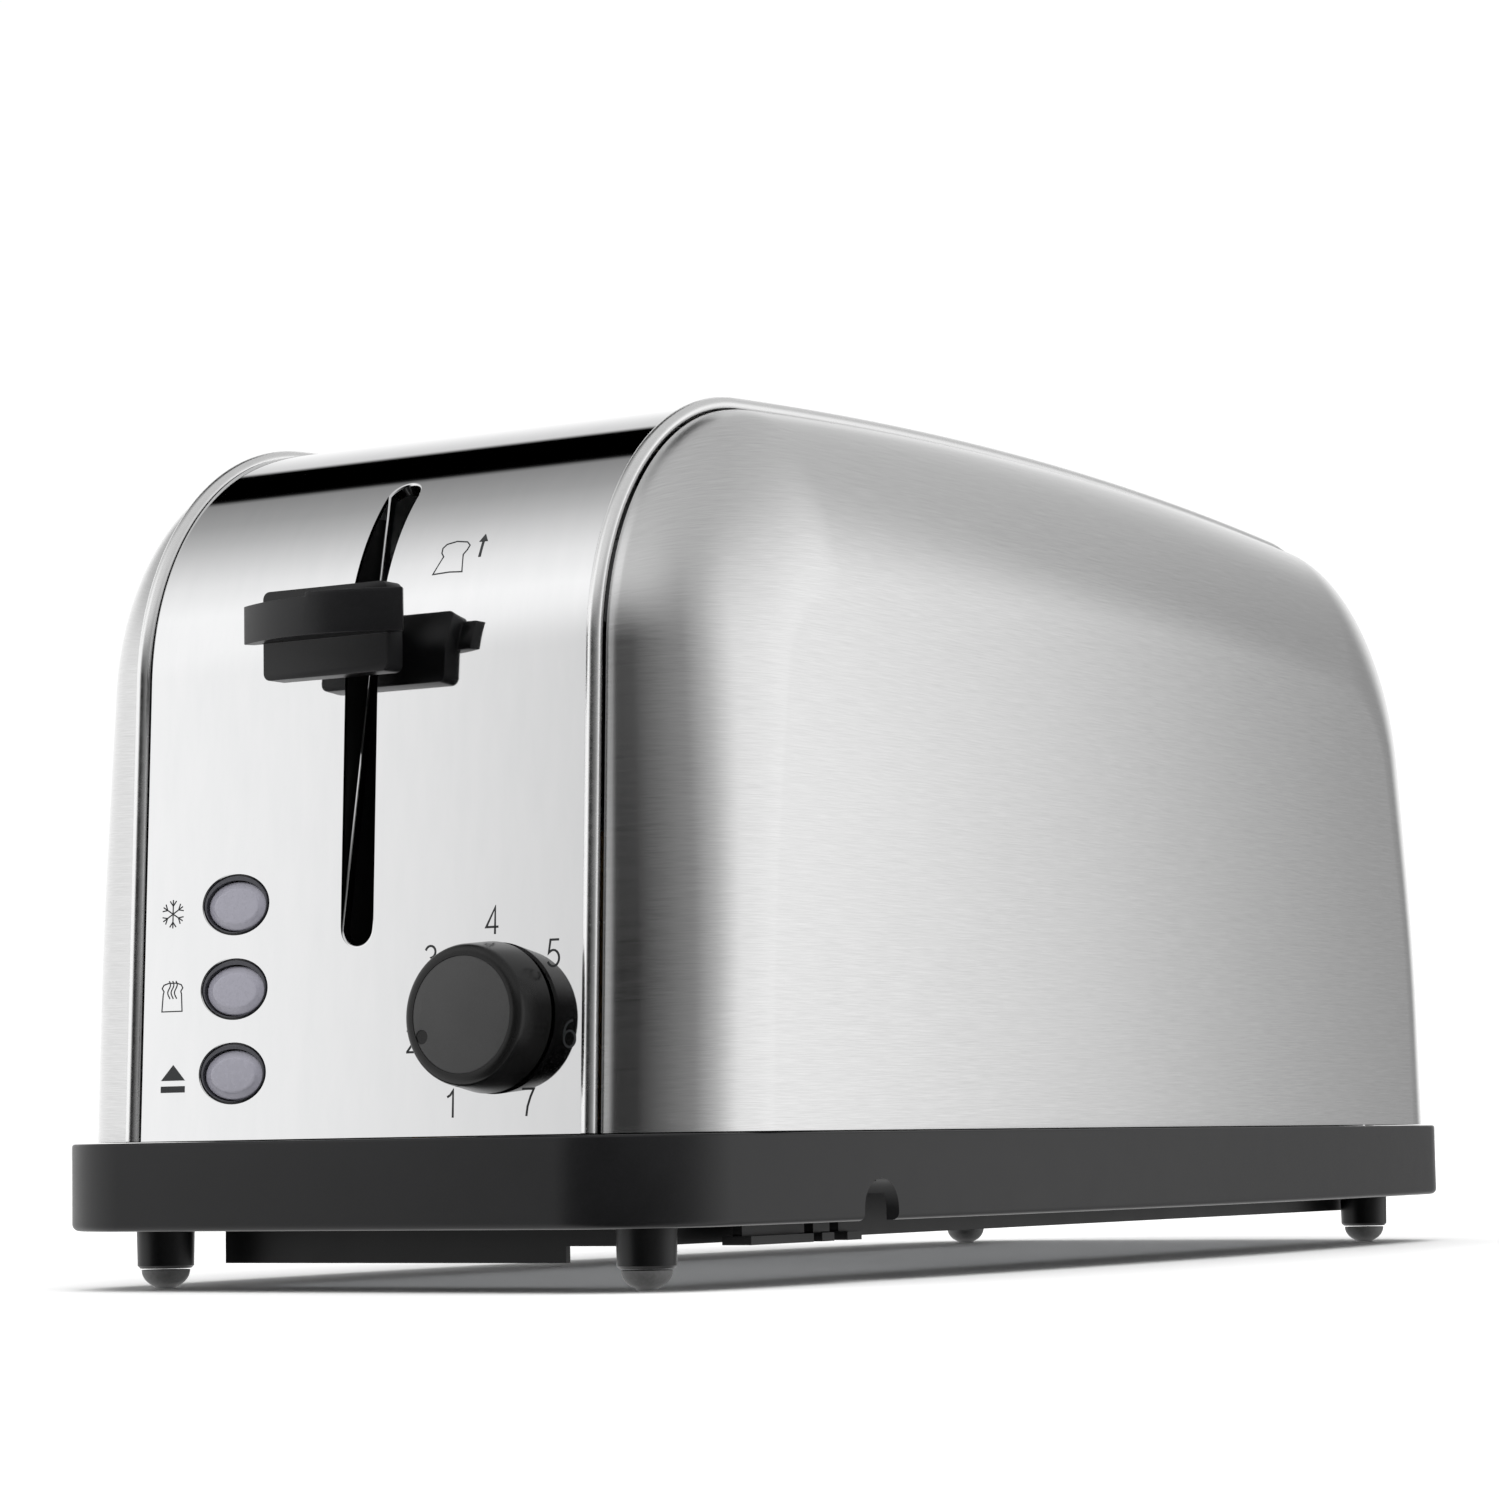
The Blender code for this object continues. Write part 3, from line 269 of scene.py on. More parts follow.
def finish(name, dark, light, roughness, metallic=0.0, grain=(900, 900, 900), depth=4e-6, source="Object",
           **sockets):
    """A finish whose colour, roughness and surface all vary with one grain and one slow mottle."""
    made, tree, shader = nodes_of(name)
    fine = noise(tree, grain, 4.0, source)
    slow = noise(tree, tuple(max(g * 0.04, 6) for g in grain), 2.0, source)
    mixed = add_node(tree, "ShaderNodeMath", operation="MULTIPLY_ADD")
    tree.links.new(fine, mixed.inputs[0])
    mixed.inputs[1].default_value = 0.6
    scaled = add_node(tree, "ShaderNodeMath", operation="MULTIPLY")
    tree.links.new(slow, scaled.inputs[0])
    scaled.inputs[1].default_value = 0.4
    tree.links.new(scaled.outputs[0], mixed.inputs[2])
    tree.links.new(ramp(tree, mixed.outputs[0], [(0.3, dark), (0.7, light)]), shader.inputs["Base Color"])
    tree.links.new(
        ramp(tree, mixed.outputs[0], [(0.3, roughness[0]), (0.7, roughness[1])]), shader.inputs["Roughness"]
    )
    shader.inputs["Metallic"].default_value = metallic
    for key, value in sockets.items():
        shader.inputs[key.replace("_", " ")].default_value = value
    bump(tree, shader, [(fine, depth)])
    return made


def brushed_panel():
    """Brushed along the toaster: the grain runs along U, and V goes across it."""
    made, tree, shader = nodes_of("brushed_side")
    hair = noise(tree, (110, 4200, 1), 3.0, "UV", 0.7)
    band = noise(tree, (40, 900, 1), 2.0, "UV")
    cloud = noise(tree, (9, 14, 1), 2.0, "UV")
    total = add_node(tree, "ShaderNodeMath", operation="MULTIPLY_ADD")
    tree.links.new(band, total.inputs[0])
    total.inputs[1].default_value = 0.2
    half = add_node(tree, "ShaderNodeMath", operation="MULTIPLY")
    tree.links.new(hair, half.inputs[0])
    half.inputs[1].default_value = 0.8
    tree.links.new(half.outputs[0], total.inputs[2])
    tree.links.new(ramp(tree, total.outputs[0], [(0.30, 0.66), (0.70, 0.80)]), shader.inputs["Base Color"])
    blend = add_node(tree, "ShaderNodeMath", operation="ADD")
    tree.links.new(total.outputs[0], blend.inputs[0])
    tree.links.new(cloud, blend.inputs[1])
    tree.links.new(ramp(tree, blend.outputs[0], [(0.6, 0.14), (1.0, 0.21)]), shader.inputs["Roughness"])
    shader.inputs["Metallic"].default_value = 1.0
    shader.inputs["Anisotropic"].default_value = 0.85
    shader.inputs["Anisotropic Rotation"].default_value = 0.25
    tangent = add_node(tree, "ShaderNodeTangent", direction_type="UV_MAP")
    tree.links.new(tangent.outputs[0], shader.inputs["Tangent"])
    bump(tree, shader, [(hair, 3e-6), (band, 6e-6)])
    return made


def make_materials():
    made = {
        "mirror": finish("mirror_polish", (0.84, 0.845, 0.85), (0.88, 0.88, 0.885), (0.025, 0.05), 1.0,
                         (260, 60, 60), 1.2e-7),
        "bead": finish("bead_polish", (0.90, 0.90, 0.90), (0.96, 0.96, 0.96), (0.22, 0.30), 1.0,
                       (900, 120, 900), 8e-7),
        "black": finish("satin_black", (0.006, 0.006, 0.0065), (0.010, 0.010, 0.011), (0.30, 0.40), 0.0,
                        (2600, 2600, 2600), 5e-6, Specular_IOR_Level=0.35),
        "knob": finish("knob_side", (0.005, 0.005, 0.005), (0.008, 0.008, 0.008), (0.20, 0.28), 0.0,
                       (2200, 2200, 2200), 2e-6, Specular_IOR_Level=0.35),
        "knob_face": finish("knob_face", (0.040, 0.040, 0.040), (0.052, 0.052, 0.052), (0.5, 0.6), 0.0,
                            (3200, 3200, 3200), 6e-6, Specular_IOR_Level=0.35),
        "rubber": finish("foot_rubber", (0.16, 0.16, 0.16), (0.24, 0.24, 0.24), (0.42, 0.55), 0.0,
                         (1500, 1500, 1500), 8e-6),
        "smoke": finish("smoke_cap", (0.27, 0.265, 0.31), (0.30, 0.295, 0.345), (0.24, 0.32), 0.0,
                        (900, 900, 900), 5e-7, Coat_Weight=0.3, Coat_Roughness=0.12),
        "collar": finish("button_collar", (0.035, 0.035, 0.042), (0.05, 0.05, 0.06), (0.25, 0.34), 0.0,
                         (1800, 1800, 1800), 2e-6),
        "zinc": finish("zinc_sheet", (0.42, 0.43, 0.44), (0.62, 0.63, 0.64), (0.30, 0.46), 1.0,
                       (180, 180, 180), 6e-6),
        "wire": finish("guide_wire", (0.50, 0.50, 0.50), (0.66, 0.66, 0.65), (0.22, 0.34), 1.0,
                       (700, 700, 120), 5e-6),
        "mica": finish("mica_board", (0.40, 0.33, 0.22), (0.56, 0.48, 0.34), (0.45, 0.62), 0.0,
                       (160, 160, 160), 2e-5),
        "ribbon": finish("heater_ribbon", (0.20, 0.18, 0.16), (0.36, 0.32, 0.28), (0.35, 0.5), 1.0,
                         (500, 500, 90), 5e-6),
        "board": finish("phenolic_board", (0.22, 0.12, 0.05), (0.34, 0.21, 0.10), (0.45, 0.6), 0.0,
                        (300, 900, 300), 8e-6),
        "copper": finish("copper_winding", (0.45, 0.19, 0.08), (0.66, 0.30, 0.13), (0.28, 0.4), 1.0,
                         (300, 300, 2600), 4e-5),
        "ink": finish("printed_ink", (0.012, 0.016, 0.017), (0.028, 0.028, 0.03), (0.45, 0.6), 0.0,
                      (4000, 4000, 4000), 3e-6),
        # Black plastic of the slot liner, made darker still: painted shade inside the lever slot, worn by the
        # lever arm too
        "slot_shade_black": finish("slot_liner", (0.004, 0.004, 0.004), (0.007, 0.007, 0.007), (0.4, 0.55), 0.0,
                         (900, 900, 900), 4e-6),
    }
    made["brushed"] = brushed_panel()
    return made


MATERIAL = make_materials()


# ---- Objects


def attach(item, finish_name, body, replaced=()):
    item.data.materials.append(MATERIAL[finish_name])
    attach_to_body(item, body)
    if replaced:
        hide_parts(*replaced)
    return item


def link(name, mesh):
    item = bpy.data.objects.new(name, mesh)
    bpy.context.scene.collection.objects.link(item)
    return item


def solid(name, shape, finish_name, body, replaced=(), angle=SHARP_DEGREES, bevel=0.0, cuts=(), joins=()):
    """A bmesh in millimetres as a piece, with cuts and joins made and its edges rounded."""
    item = link(name, as_mesh(name, shape))
    combine(item, "UNION", joins)
    combine(item, "DIFFERENCE", cuts)
    if bevel:
        step = item.modifiers.new("Bevel", "BEVEL")
        step.width, step.segments, step.limit_method = bevel * MM, BEVEL_SEGMENTS, "ANGLE"
        step.angle_limit = BEVEL_ANGLE
        settle(item)
    item.data.shade_smooth()
    item.data.set_sharp_from_angle(angle=math.radians(angle))
    return attach(item, finish_name, body, replaced)


def combine(item, operation, others):
    """Joins other shapes to a piece, or cuts them out of it."""
    for other in others:
        cutter = link("cutter", as_mesh("cutter", other))
        step = item.modifiers.new("Boolean", "BOOLEAN")
        step.operation, step.object, step.solver = operation, cutter, "EXACT"
        settle(item)
        bpy.data.objects.remove(cutter)


def as_mesh(name, shape):
    bmesh.ops.recalc_face_normals(shape, faces=shape.faces)
    shape.transform(TO_FRAME)
    mesh = bpy.data.meshes.new(name)
    shape.to_mesh(mesh)
    shape.free()
    return mesh


def settle(item):
    """Applies an object's modifiers."""
    bpy.context.view_layer.update()
    evaluated = item.evaluated_get(bpy.context.evaluated_depsgraph_get())
    mesh = bpy.data.meshes.new_from_object(evaluated)
    item.modifiers.clear()
    item.data = mesh


def flattened(table):
    return [value for row in table for value in row]


class Sheet:
    """Faces with the normals that they are shaded by, and optional UVs, gathered into one piece."""

    def __init__(self):
        self.points, self.normals, self.faces, self.uvs = [], [], [], []

    def patch(self, points, normals, faces, uvs=None):
        start = len(self.points)
        self.points += [Vector(p) for p in points]
        self.normals += [Vector(n) for n in normals]
        self.uvs += list(uvs) if uvs is not None else [(0.0, 0.0)] * len(points)
        self.faces += [tuple(start + i for i in face) for face in faces]

    def grid(self, rows, normals, uvs=None, closed=False):
        wide = len(rows[0])
        faces = []
        for r in range(len(rows) - 1):
            for i in range(wide if closed else wide - 1):
                j = (i + 1) % wide
                faces.append((r * wide + i, r * wide + j, (r + 1) * wide + j, (r + 1) * wide + i))
        self.patch(flattened(rows), flattened(normals), faces, flattened(uvs) if uvs is not None else None)

    def piece(self, name, finish_name, body, replaced=()):
        mesh = bpy.data.meshes.new(name)
        faces = []
        for face in self.faces:
            corners = [self.points[i] for i in face]
            area = (corners[1] - corners[0]).cross(corners[-1] - corners[0])
            if len(face) == 4:
                area += (corners[3] - corners[2]).cross(corners[1] - corners[2])
            way = sum((self.normals[i] for i in face), Vector())
            faces.append(face if area.dot(way) >= 0 else tuple(reversed(face)))
        points = [TO_FRAME @ point for point in self.points]
        mesh.from_pydata(points, [], faces)
        layer = mesh.uv_layers.new(name="UVMap")
        for loop in mesh.loops:
            layer.data[loop.index].uv = self.uvs[loop.vertex_index]
        mesh.shade_smooth()
        mesh.normals_split_custom_set_from_vertices([n.normalized() for n in self.normals])
        return attach(link(name, mesh), finish_name, body, replaced)


# ---- Shape builders, in millimetres


def loft(rings, capped=True):
    shape = bmesh.new()
    rows = [[shape.verts.new(point) for point in ring] for ring in rings]
    for low, high in zip(rows, rows[1:]):
        for i in range(len(low)):
            j = (i + 1) % len(low)
            shape.faces.new((low[i], low[j], high[j], high[i]))
    if capped:
        shape.faces.new(rows[0][::-1])
        shape.faces.new(rows[-1])
    return shape


def prism(outline, axis, low, high):
    place_on = {"X": lambda a, b, c: (c, a, b), "Y": lambda a, b, c: (a, c, b), "Z": lambda a, b, c: (a, b, c)}
    return loft([[place_on[axis](a, b, c) for a, b in outline] for c in (low, high)])


def oval(x, y, radius_x, radius_y, steps=48):
    turns = [math.tau * i / steps for i in range(steps)]
    return [(x + radius_x * math.cos(t), y + radius_y * math.sin(t)) for t in turns]


def lathe(profile, steps=64):
    """Turns a profile of (radius, height) about Z; the end points lie on the axis."""
    rings = [[(x, y, height) for x, y in oval(0, 0, radius, radius, steps)] for radius, height in profile[1:-1]]
    return loft(rings)


def box(low, high):
    outline = [(low[0], low[1]), (high[0], low[1]), (high[0], high[1]), (low[0], high[1])]
    return prism(outline, "Z", low[2], high[2])


def rounded_box(half_x, half_y, radius, steps=8, x=0.0, y=0.0):
    """Points (x, y, way out x, way out y) round a rectangle with round corners."""
    found = []
    for sx, sy, start in ((1, 1, 0), (-1, 1, 0.5), (-1, -1, 1), (1, -1, 1.5)):
        for i in range(steps + 1):
            turn = math.pi * (start + 0.5 * i / steps)
            way = (math.cos(turn), math.sin(turn))
            found.append((x + sx * (half_x - radius) + radius * way[0],
                          y + sy * (half_y - radius) + radius * way[1], *way))
    return found


def oval_ring(x, y, radius_x, radius_y, steps=56):
    found = []
    for px, py in oval(x, y, radius_x, radius_y, steps):
        way = Vector(((px - x) / radius_x ** 2, (py - y) / radius_y ** 2)).normalized()
        found.append((px, py, *way))
    return found


def moved(shape, matrix):
    shape.transform(matrix)
    return shape


# ---- Polished centre band, with rolled edges round its holes


def band_holes():
    """Each hole as (ring of points and ways out, radius of its rolled edge, depth of that edge)."""
    low, high = arc_at_z(LEVER_SLOT_LOW_Z), arc_at_z(LEVER_SLOT_HIGH_Z)
    holes = [(rounded_box(3.6, (high - low) / 2, 3.55, 10, 0, (low + high) / 2), 0.55, 2.4)]
    for z in BUTTONS.values():
        holes.append((oval_ring(BUTTON_X, arc_at_z(z), 8.6, 6.3), 0.30, 1.2))
    holes.append((oval_ring(KNOB_X, arc_at_z(KNOB_Z), 4.5, 4.5, 24), 0.2, 1.0))
    front, back = arc_at_y(BREAD_SLOT_FRONT_Y), arc_at_y(BREAD_SLOT_BACK_Y)
    for side in (-1, 1):
        middle = (side * BREAD_SLOT_X, (front + back) / 2)
        ring = rounded_box(BREAD_SLOT_HALF_WIDTH, (back - front) / 2, 6.0, 8, *middle)
        holes.append((ring, 1.3, 7.0))
    return holes


def inside(point, ring):
    """Whether a point is in a convex ring of (x, y, way out x, way out y)."""
    return all((point[0] - x) * nx + (point[1] - y) * ny < 0 for x, y, nx, ny in ring)


def centre_band():
    holes = band_holes()
    stations, _ = arch_stations(10, 56, 26)
    inner = moved_in(stations, SHELL_INSET)
    rows = np.concatenate([[0], np.cumsum(np.linalg.norm(np.diff(inner, axis=0), axis=1))])
    rows *= ARC[-1] / rows[-1]
    flat, edges = [], []
    for arc in rows:
        flat += [(-BAND_HALF_WIDTH, arc), (BAND_HALF_WIDTH, arc)]
        edges.append((len(flat) - 2, len(flat) - 1))
    for i in range(len(rows) - 1):
        edges += [(2 * i, 2 * i + 2), (2 * i + 1, 2 * i + 3)]
    rims = []
    for ring, roll, _ in holes:
        wide = [(x + nx * roll, y + ny * roll, nx, ny) for x, y, nx, ny in ring]
        rims.append(wide)
        start = len(flat)
        flat += [(x, y) for x, y, _, _ in wide]
        edges += [(start + i, start + (i + 1) % len(wide)) for i in range(len(wide))]
    points, _, faces, _, _, _ = delaunay_2d_cdt([Vector(p) for p in flat], edges, [], 0, 1e-5)
    kept = []
    for face in faces:
        middle = sum((points[i] for i in face), Vector((0, 0))) / len(face)
        if not any(inside(middle, rim) for rim in rims):
            kept.append(face)
    sheet = Sheet()
    outer = [band_point(p.x, p.y) for p in points]
    back = [band_point(p.x, p.y, -SHEET) for p in points]
    sheet.patch([p for p, _ in outer], [n for _, n in outer], kept)
    sheet.patch([p for p, _ in back], [-n for _, n in back], kept)
    for side in (-1, 1):
        edge = [[band_point(side * BAND_HALF_WIDTH, arc, -out)[0] for arc in rows] for out in (0, SHEET)]
        sheet.grid(edge, [[(side, 0, 0)] * len(rows)] * 2)
    steps = 6
    for ring, roll, depth in holes:
        places, ways = [], []
        for k in range(steps + 2):
            turn = math.pi / 2 * min(k, steps) / steps
            out = -roll * (1 - math.cos(turn)) if k <= steps else -depth
            apart = roll * (1 - math.sin(turn))
            places.append([])
            ways.append([])
            for x, y, nx, ny in ring:
                point, normal = band_point(x + nx * apart, y + ny * apart, out)
                along = Vector((0, normal.z, -normal.y))
                inward = Vector((-nx, 0, 0)) - along * ny
                ways[-1].append(normal * math.cos(turn) + inward.normalized() * math.sin(turn))
                places[-1].append(point)
        sheet.grid(places, ways, closed=True)
    return sheet.piece("polished_band", "mirror", "housing", ["centre_band"])


def edge_bead(name, side):
    stations, _ = arch_stations(10, 64, 36)
    middle = moved_in(stations, BEAD_RADIUS)
    rows, ways = [], []
    for i, (y, z) in enumerate(middle):
        ny, nz = stations[i, 2:]
        ring = []
        for k in range(BEAD_SIDES):
            turn = math.tau * k / BEAD_SIDES
            ring.append(Vector((math.cos(turn), ny * math.sin(turn), nz * math.sin(turn))))
        ways.append(ring)
        rows.append([Vector((side * BEAD_X, y, z)) + way * BEAD_RADIUS for way in ring])
    sheet = Sheet()
    sheet.grid(rows, ways, closed=True)
    for end in (0, -1):
        sheet.patch(rows[end], [(0, 0, -1)] * BEAD_SIDES, [tuple(range(BEAD_SIDES))])
    return sheet.piece(name, "bead", "housing", [name.replace("trim", "edge_bead")])


# ---- Brushed side panels


def smooth(share):
    return share * share * (3 - 2 * share)


def panel_climb(z):
    """How far up the panel z is, from 0 where it is fullest to 1 where it is flattest."""
    return min(max((z - PANEL_LOW_Z) / PANEL_RISE, 0.0), 1.0)


def panel_blend(z):
    return smooth(panel_climb(z))


def panel_depth(y, z, share):
    """X of the panel where the round is a share of the way from its edge to its flat."""
    share = min(share, 1.0)
    rise = (1 - (1 - share) ** PANEL_POWER) ** (1 / PANEL_POWER)
    swell = PANEL_SWELL * (1 - min(abs(y) / HALF_LENGTH, 1) ** 2) * smooth(share)
    return PANEL_EDGE_X + (PANEL_DEPTH - PANEL_DEPTH_LOST * panel_blend(z)) * rise + swell


def panel_normal(y, z):
    """The way out of the flat of the panel."""
    share = panel_climb(z)
    slope_z = -PANEL_DEPTH_LOST * 6 * share * (1 - share) / PANEL_RISE
    slope_y = -2 * PANEL_SWELL * y / HALF_LENGTH ** 2
    return Vector((1, -slope_y, -slope_z)).normalized()


def side_panel(name, side):
    stations, _ = arch_stations(16, 44, 30)
    plain = moved_in(stations, PANEL_INSET)
    rounds = np.array([PANEL_ROUND + PANEL_ROUND_GAINED * panel_blend(z) for _, z in plain])
    shares = [(i / PANEL_STEPS) ** 1.8 for i in range(PANEL_STEPS + 1)] + [1.35]
    rows, normals, uvs = [], [], []
    for share in shares:
        spots = stations[:, :2] - stations[:, 2:] * (PANEL_INSET + share * rounds)[:, None]
        spots[:, 1] = np.maximum(spots[:, 1], FOOT_Z)
        rows.append([Vector((panel_depth(y, z, share), y, z)) for y, z in spots])
    last = rows[-1]
    for share in [i / 10 for i in range(1, 11)]:
        row = []
        for point in last:
            climb = (PANEL_MERGE_Z - FOOT_Z) / (CORNER_Z - FOOT_Z)
            goal = FOOT_Z + (min(point.z, CORNER_Z) - FOOT_Z) * climb
            y, z = point.y * (1 - share), point.z + (goal - point.z) * share
            row.append(Vector((panel_depth(y, z, 1.0), y, z)))
        rows.append(row)
    table = np.array([[tuple(p) for p in row] for row in rows])
    down, across = np.gradient(table, axis=0), np.gradient(table, axis=1)
    crossed = np.cross(down, across)
    for r, row in enumerate(rows):
        normals.append([])
        uvs.append([])
        for i, point in enumerate(row):
            way = Vector(crossed[r, i])
            if r >= PANEL_STEPS or way.length < 1e-9:
                way = panel_normal(point.y, point.z)
            if way.x < 0:
                way = -way
            if r == 0:
                way = Vector((0.05, *stations[i, 2:]))
            way.normalize()
            normals[-1].append(Vector((side * way.x, way.y, way.z)))
            drop = panel_depth(point.y, point.z, 1.0) - point.x
            u = point.y + stations[i, 2] * drop
            v = point.z + stations[i, 3] * drop
            uvs[-1].append((u * MM, v * MM))
    sheet = Sheet()
    flipped = [[Vector((side * p.x, p.y, p.z)) for p in row] for row in rows]
    sheet.grid(flipped, normals, uvs)
    inner = [[p - n * SHEET for p, n in zip(row, ways)] for row, ways in zip(flipped, normals)]
    sheet.grid(inner, [[-n for n in ways] for ways in normals], uvs)
    edge_ways = [[Vector((-side, 0, 0))] * len(rows[0])] * 2
    sheet.grid([flipped[0], inner[0]], edge_ways)
    return sheet.piece(name, "brushed", "housing", [name.replace("brushed", "side_panel")])


# ---- Black base, feet and underside


def base_outline(inset, corner=20, side=30):
    side_centre = BASE_HALF_WIDTH - BASE_SIDE_RADIUS
    corner_y = BASE_HALF_LENGTH - BASE_CORNER_RADIUS
    reach = BASE_SIDE_RADIUS - BASE_CORNER_RADIUS
    corner_x = side_centre + math.sqrt(reach * reach - corner_y * corner_y)
    meet = math.asin(corner_y / reach)
    quarter = []
    for i in range(side):
        turn = meet * i / side
        radius = BASE_SIDE_RADIUS - inset
        quarter.append((side_centre + radius * math.cos(turn), radius * math.sin(turn)))
    for i in range(corner + 1):
        turn = meet + (math.pi / 2 - meet) * i / corner
        radius = BASE_CORNER_RADIUS - inset
        quarter.append((corner_x + radius * math.cos(turn), corner_y + radius * math.sin(turn)))
    left = [(-x, y) for x, y in reversed(quarter)]
    left_front = [(-x, -y) for x, y in quarter[1:]]
    return quarter + left + left_front + [(x, -y) for x, y in reversed(quarter[1:])]


def base_shell():
    low, high, soft, crisp = SKIRT_LOW_Z, SKIRT_HIGH_Z, SKIRT_LOW_ROUND, SKIRT_HIGH_ROUND
    profile = []
    for i in range(7):
        turn = math.pi / 2 * i / 6
        profile.append((soft * (1 - math.sin(turn)), low + soft * (1 - math.cos(turn))))
    for i in range(5):
        turn = math.pi / 2 * i / 4
        profile.append((crisp * (1 - math.cos(turn)), high - crisp * (1 - math.sin(turn))))
    shape = loft([[(x, y, z) for x, y in base_outline(inset)] for inset, z in profile])
    posts = [lathe(FOOT_POST, 40) for _ in range(4)]
    spots = [(x * FOOT_X, y * FOOT_Y) for x in (-1, 1) for y in (-1, 1)]
    for post, (x, y) in zip(posts, spots):
        moved(post, Matrix.Translation((x, y, 0)))
    low, top = CHANNEL_LOW_Z, CHANNEL_TOP_Z
    walls = [box((-CHANNEL_X, -166, 5.0), (34, -164.5, top)), box((34, -166, low), (CHANNEL_X, -164.5, top))]
    for side in (-1, 1):
        x0, x1 = sorted((side * CHANNEL_X, side * CHANNEL_INNER_X))
        walls.append(box((x0, -165.2, low), (x1, 195.9, top)))
        x0, x1 = sorted((side * CHANNEL_X, side * CHANNEL_RAIL_X))
        walls.append(box((x0, -165, 8.45), (x1, 195.8, 9.6)))
    hooks = []
    for y0, y1 in CORD_HOOKS:
        hooks += [box((59, y0, 8), (66, y1, 9.8)), box((61, y0 + 1, 8.1), (63.2, y1 - 1, 19))]
    turns = [math.pi * i / 16 for i in range(17)]
    arc = [(NOTCH_Y + NOTCH_RADIUS * math.cos(t), NOTCH_Z + NOTCH_RADIUS * math.sin(t)) for t in turns]
    mouth = [(NOTCH_Y + way * NOTCH_RADIUS, NOTCH_MOUTH_Z) for way in (-1, 1)]
    notch = prism(arc + mouth, "X", 75, 95)
    screws = [prism(oval(x, y, 2.4, 2.4, 24), "Z", 4.3, 23) for x, y in SCREW_SPOTS]
    cuts = [prism(base_outline(inset), "Z", bottom, top) for inset, bottom, top in BASE_HOLLOWS]
    late = [box((-50, -126, 16), (50, 136, 23)), prism(oval(69, -158, 6, 6, 32), "Z", 16, 23), notch]
    late += [box((-52.7, 196.9, 10.5), (52.7, 205.9, 17.0))] + screws
    item = link("base_shell", as_mesh("base_shell", shape))
    combine(item, "DIFFERENCE", cuts)
    combine(item, "UNION", walls + hooks + posts)
    combine(item, "DIFFERENCE", late)
    item.data.shade_smooth()
    item.data.set_sharp_from_angle(angle=math.radians(SHARP_DEGREES))
    return attach(item, "black", "housing", ["base_frame"])


def feet():
    for end, y in (("front", -FOOT_Y), ("rear", FOOT_Y)):
        for hand, x in (("left", -FOOT_X), ("right", FOOT_X)):
            dome = [(0, 0), (1.2, 0.0), (2.0, 0.05)]
            dome += [(FOOT_RADIUS * math.sin(t), 4.0 - 4.0 * math.cos(t)) for t in np.linspace(0.5, 1.5, 9)]
            dome += [(FOOT_RADIUS, 4.0), (0, 4.0)]
            pad = moved(lathe(dome, 40), Matrix.Translation((x, y, 0)))
            solid(f"dome_{end}_{hand}", pad, "rubber", "housing", [f"foot_{end}_{hand}"])


def screws():
    for number, (x, y) in enumerate(SCREW_SPOTS, 1):
        shape = moved(lathe(SCREW_HEAD, 32), Matrix.Translation((x, y, 0)))
        cross = [box((x - a, y - b, 13.5), (x + a, y + b, 15.9)) for a, b in ((2.2, 0.5), (0.5, 2.2))]
        solid(f"screw_{number}", shape, "zinc", "housing", [f"base_screw_{number}"], cuts=cross)


# ---- Controls


def browning_knob():
    rear, face, length = KNOB_REAR_RADIUS, KNOB_FACE_RADIUS, KNOB_LENGTH
    turns = np.linspace(1.35, 0.12, 8)
    edge = [(face - 1.75 + 1.75 * math.sin(t), length - 1.5 * (1 - math.cos(t))) for t in turns]
    profile = [(0, 0.8), (rear - 0.5, 0.8), (rear, 1.3), (face + 0.12, length - 1.75)] + edge
    profile += [(face - 1.9, length), (0, length)]
    here = on_front(KNOB_X, KNOB_Z)
    body = moved(lathe(profile, 128), here)
    bore = moved(prism(oval(0, 0, 3.3, 3.3, 32), "Z", -1, 7.0), here)
    rim = oval(0, 0, KNOB_RECESS_RADIUS, KNOB_RECESS_RADIUS, 96)
    recess = moved(prism(rim, "Z", length - 0.25, length + 1), here)
    solid("dial_body", body, "knob", "dial", ["browning_knob"], cuts=[bore, recess], angle=28)
    turn = math.radians(DIMPLE_DEGREES)
    dimple_x, dimple_y = -DIMPLE_RADIUS * math.sin(turn), DIMPLE_RADIUS * math.cos(turn)
    rings = [[(x, y, z) for x, y in oval(0, 0, r, r, 96)] for r, z in
             ((11.7, length - 0.35), (11.7, length - 0.12), (11.45, length - 0.02))]
    disc = moved(loft(rings), here)
    bowl = lathe([(0, -1.1), (0.6, -1.05), (1.1, -0.75), (1.4, -0.3), (1.6, 0.5), (0, 0.5)], 32)
    dimple = here @ Matrix.Translation((dimple_x, dimple_y, length))
    solid("dial_face", disc, "knob_face", "dial", cuts=[moved(bowl, dimple)], angle=28)
    cup = lathe([(0, -1.15), (0.6, -1.12), (1.2, -0.8), (1.5, -0.35), (1.55, -0.2), (1.4, -0.22), (1.05, -0.72),
                 (0.45, -0.98), (0, -1.0)], 32)
    solid("dial_mark", moved(cup, dimple), "knob", "dial", angle=60)


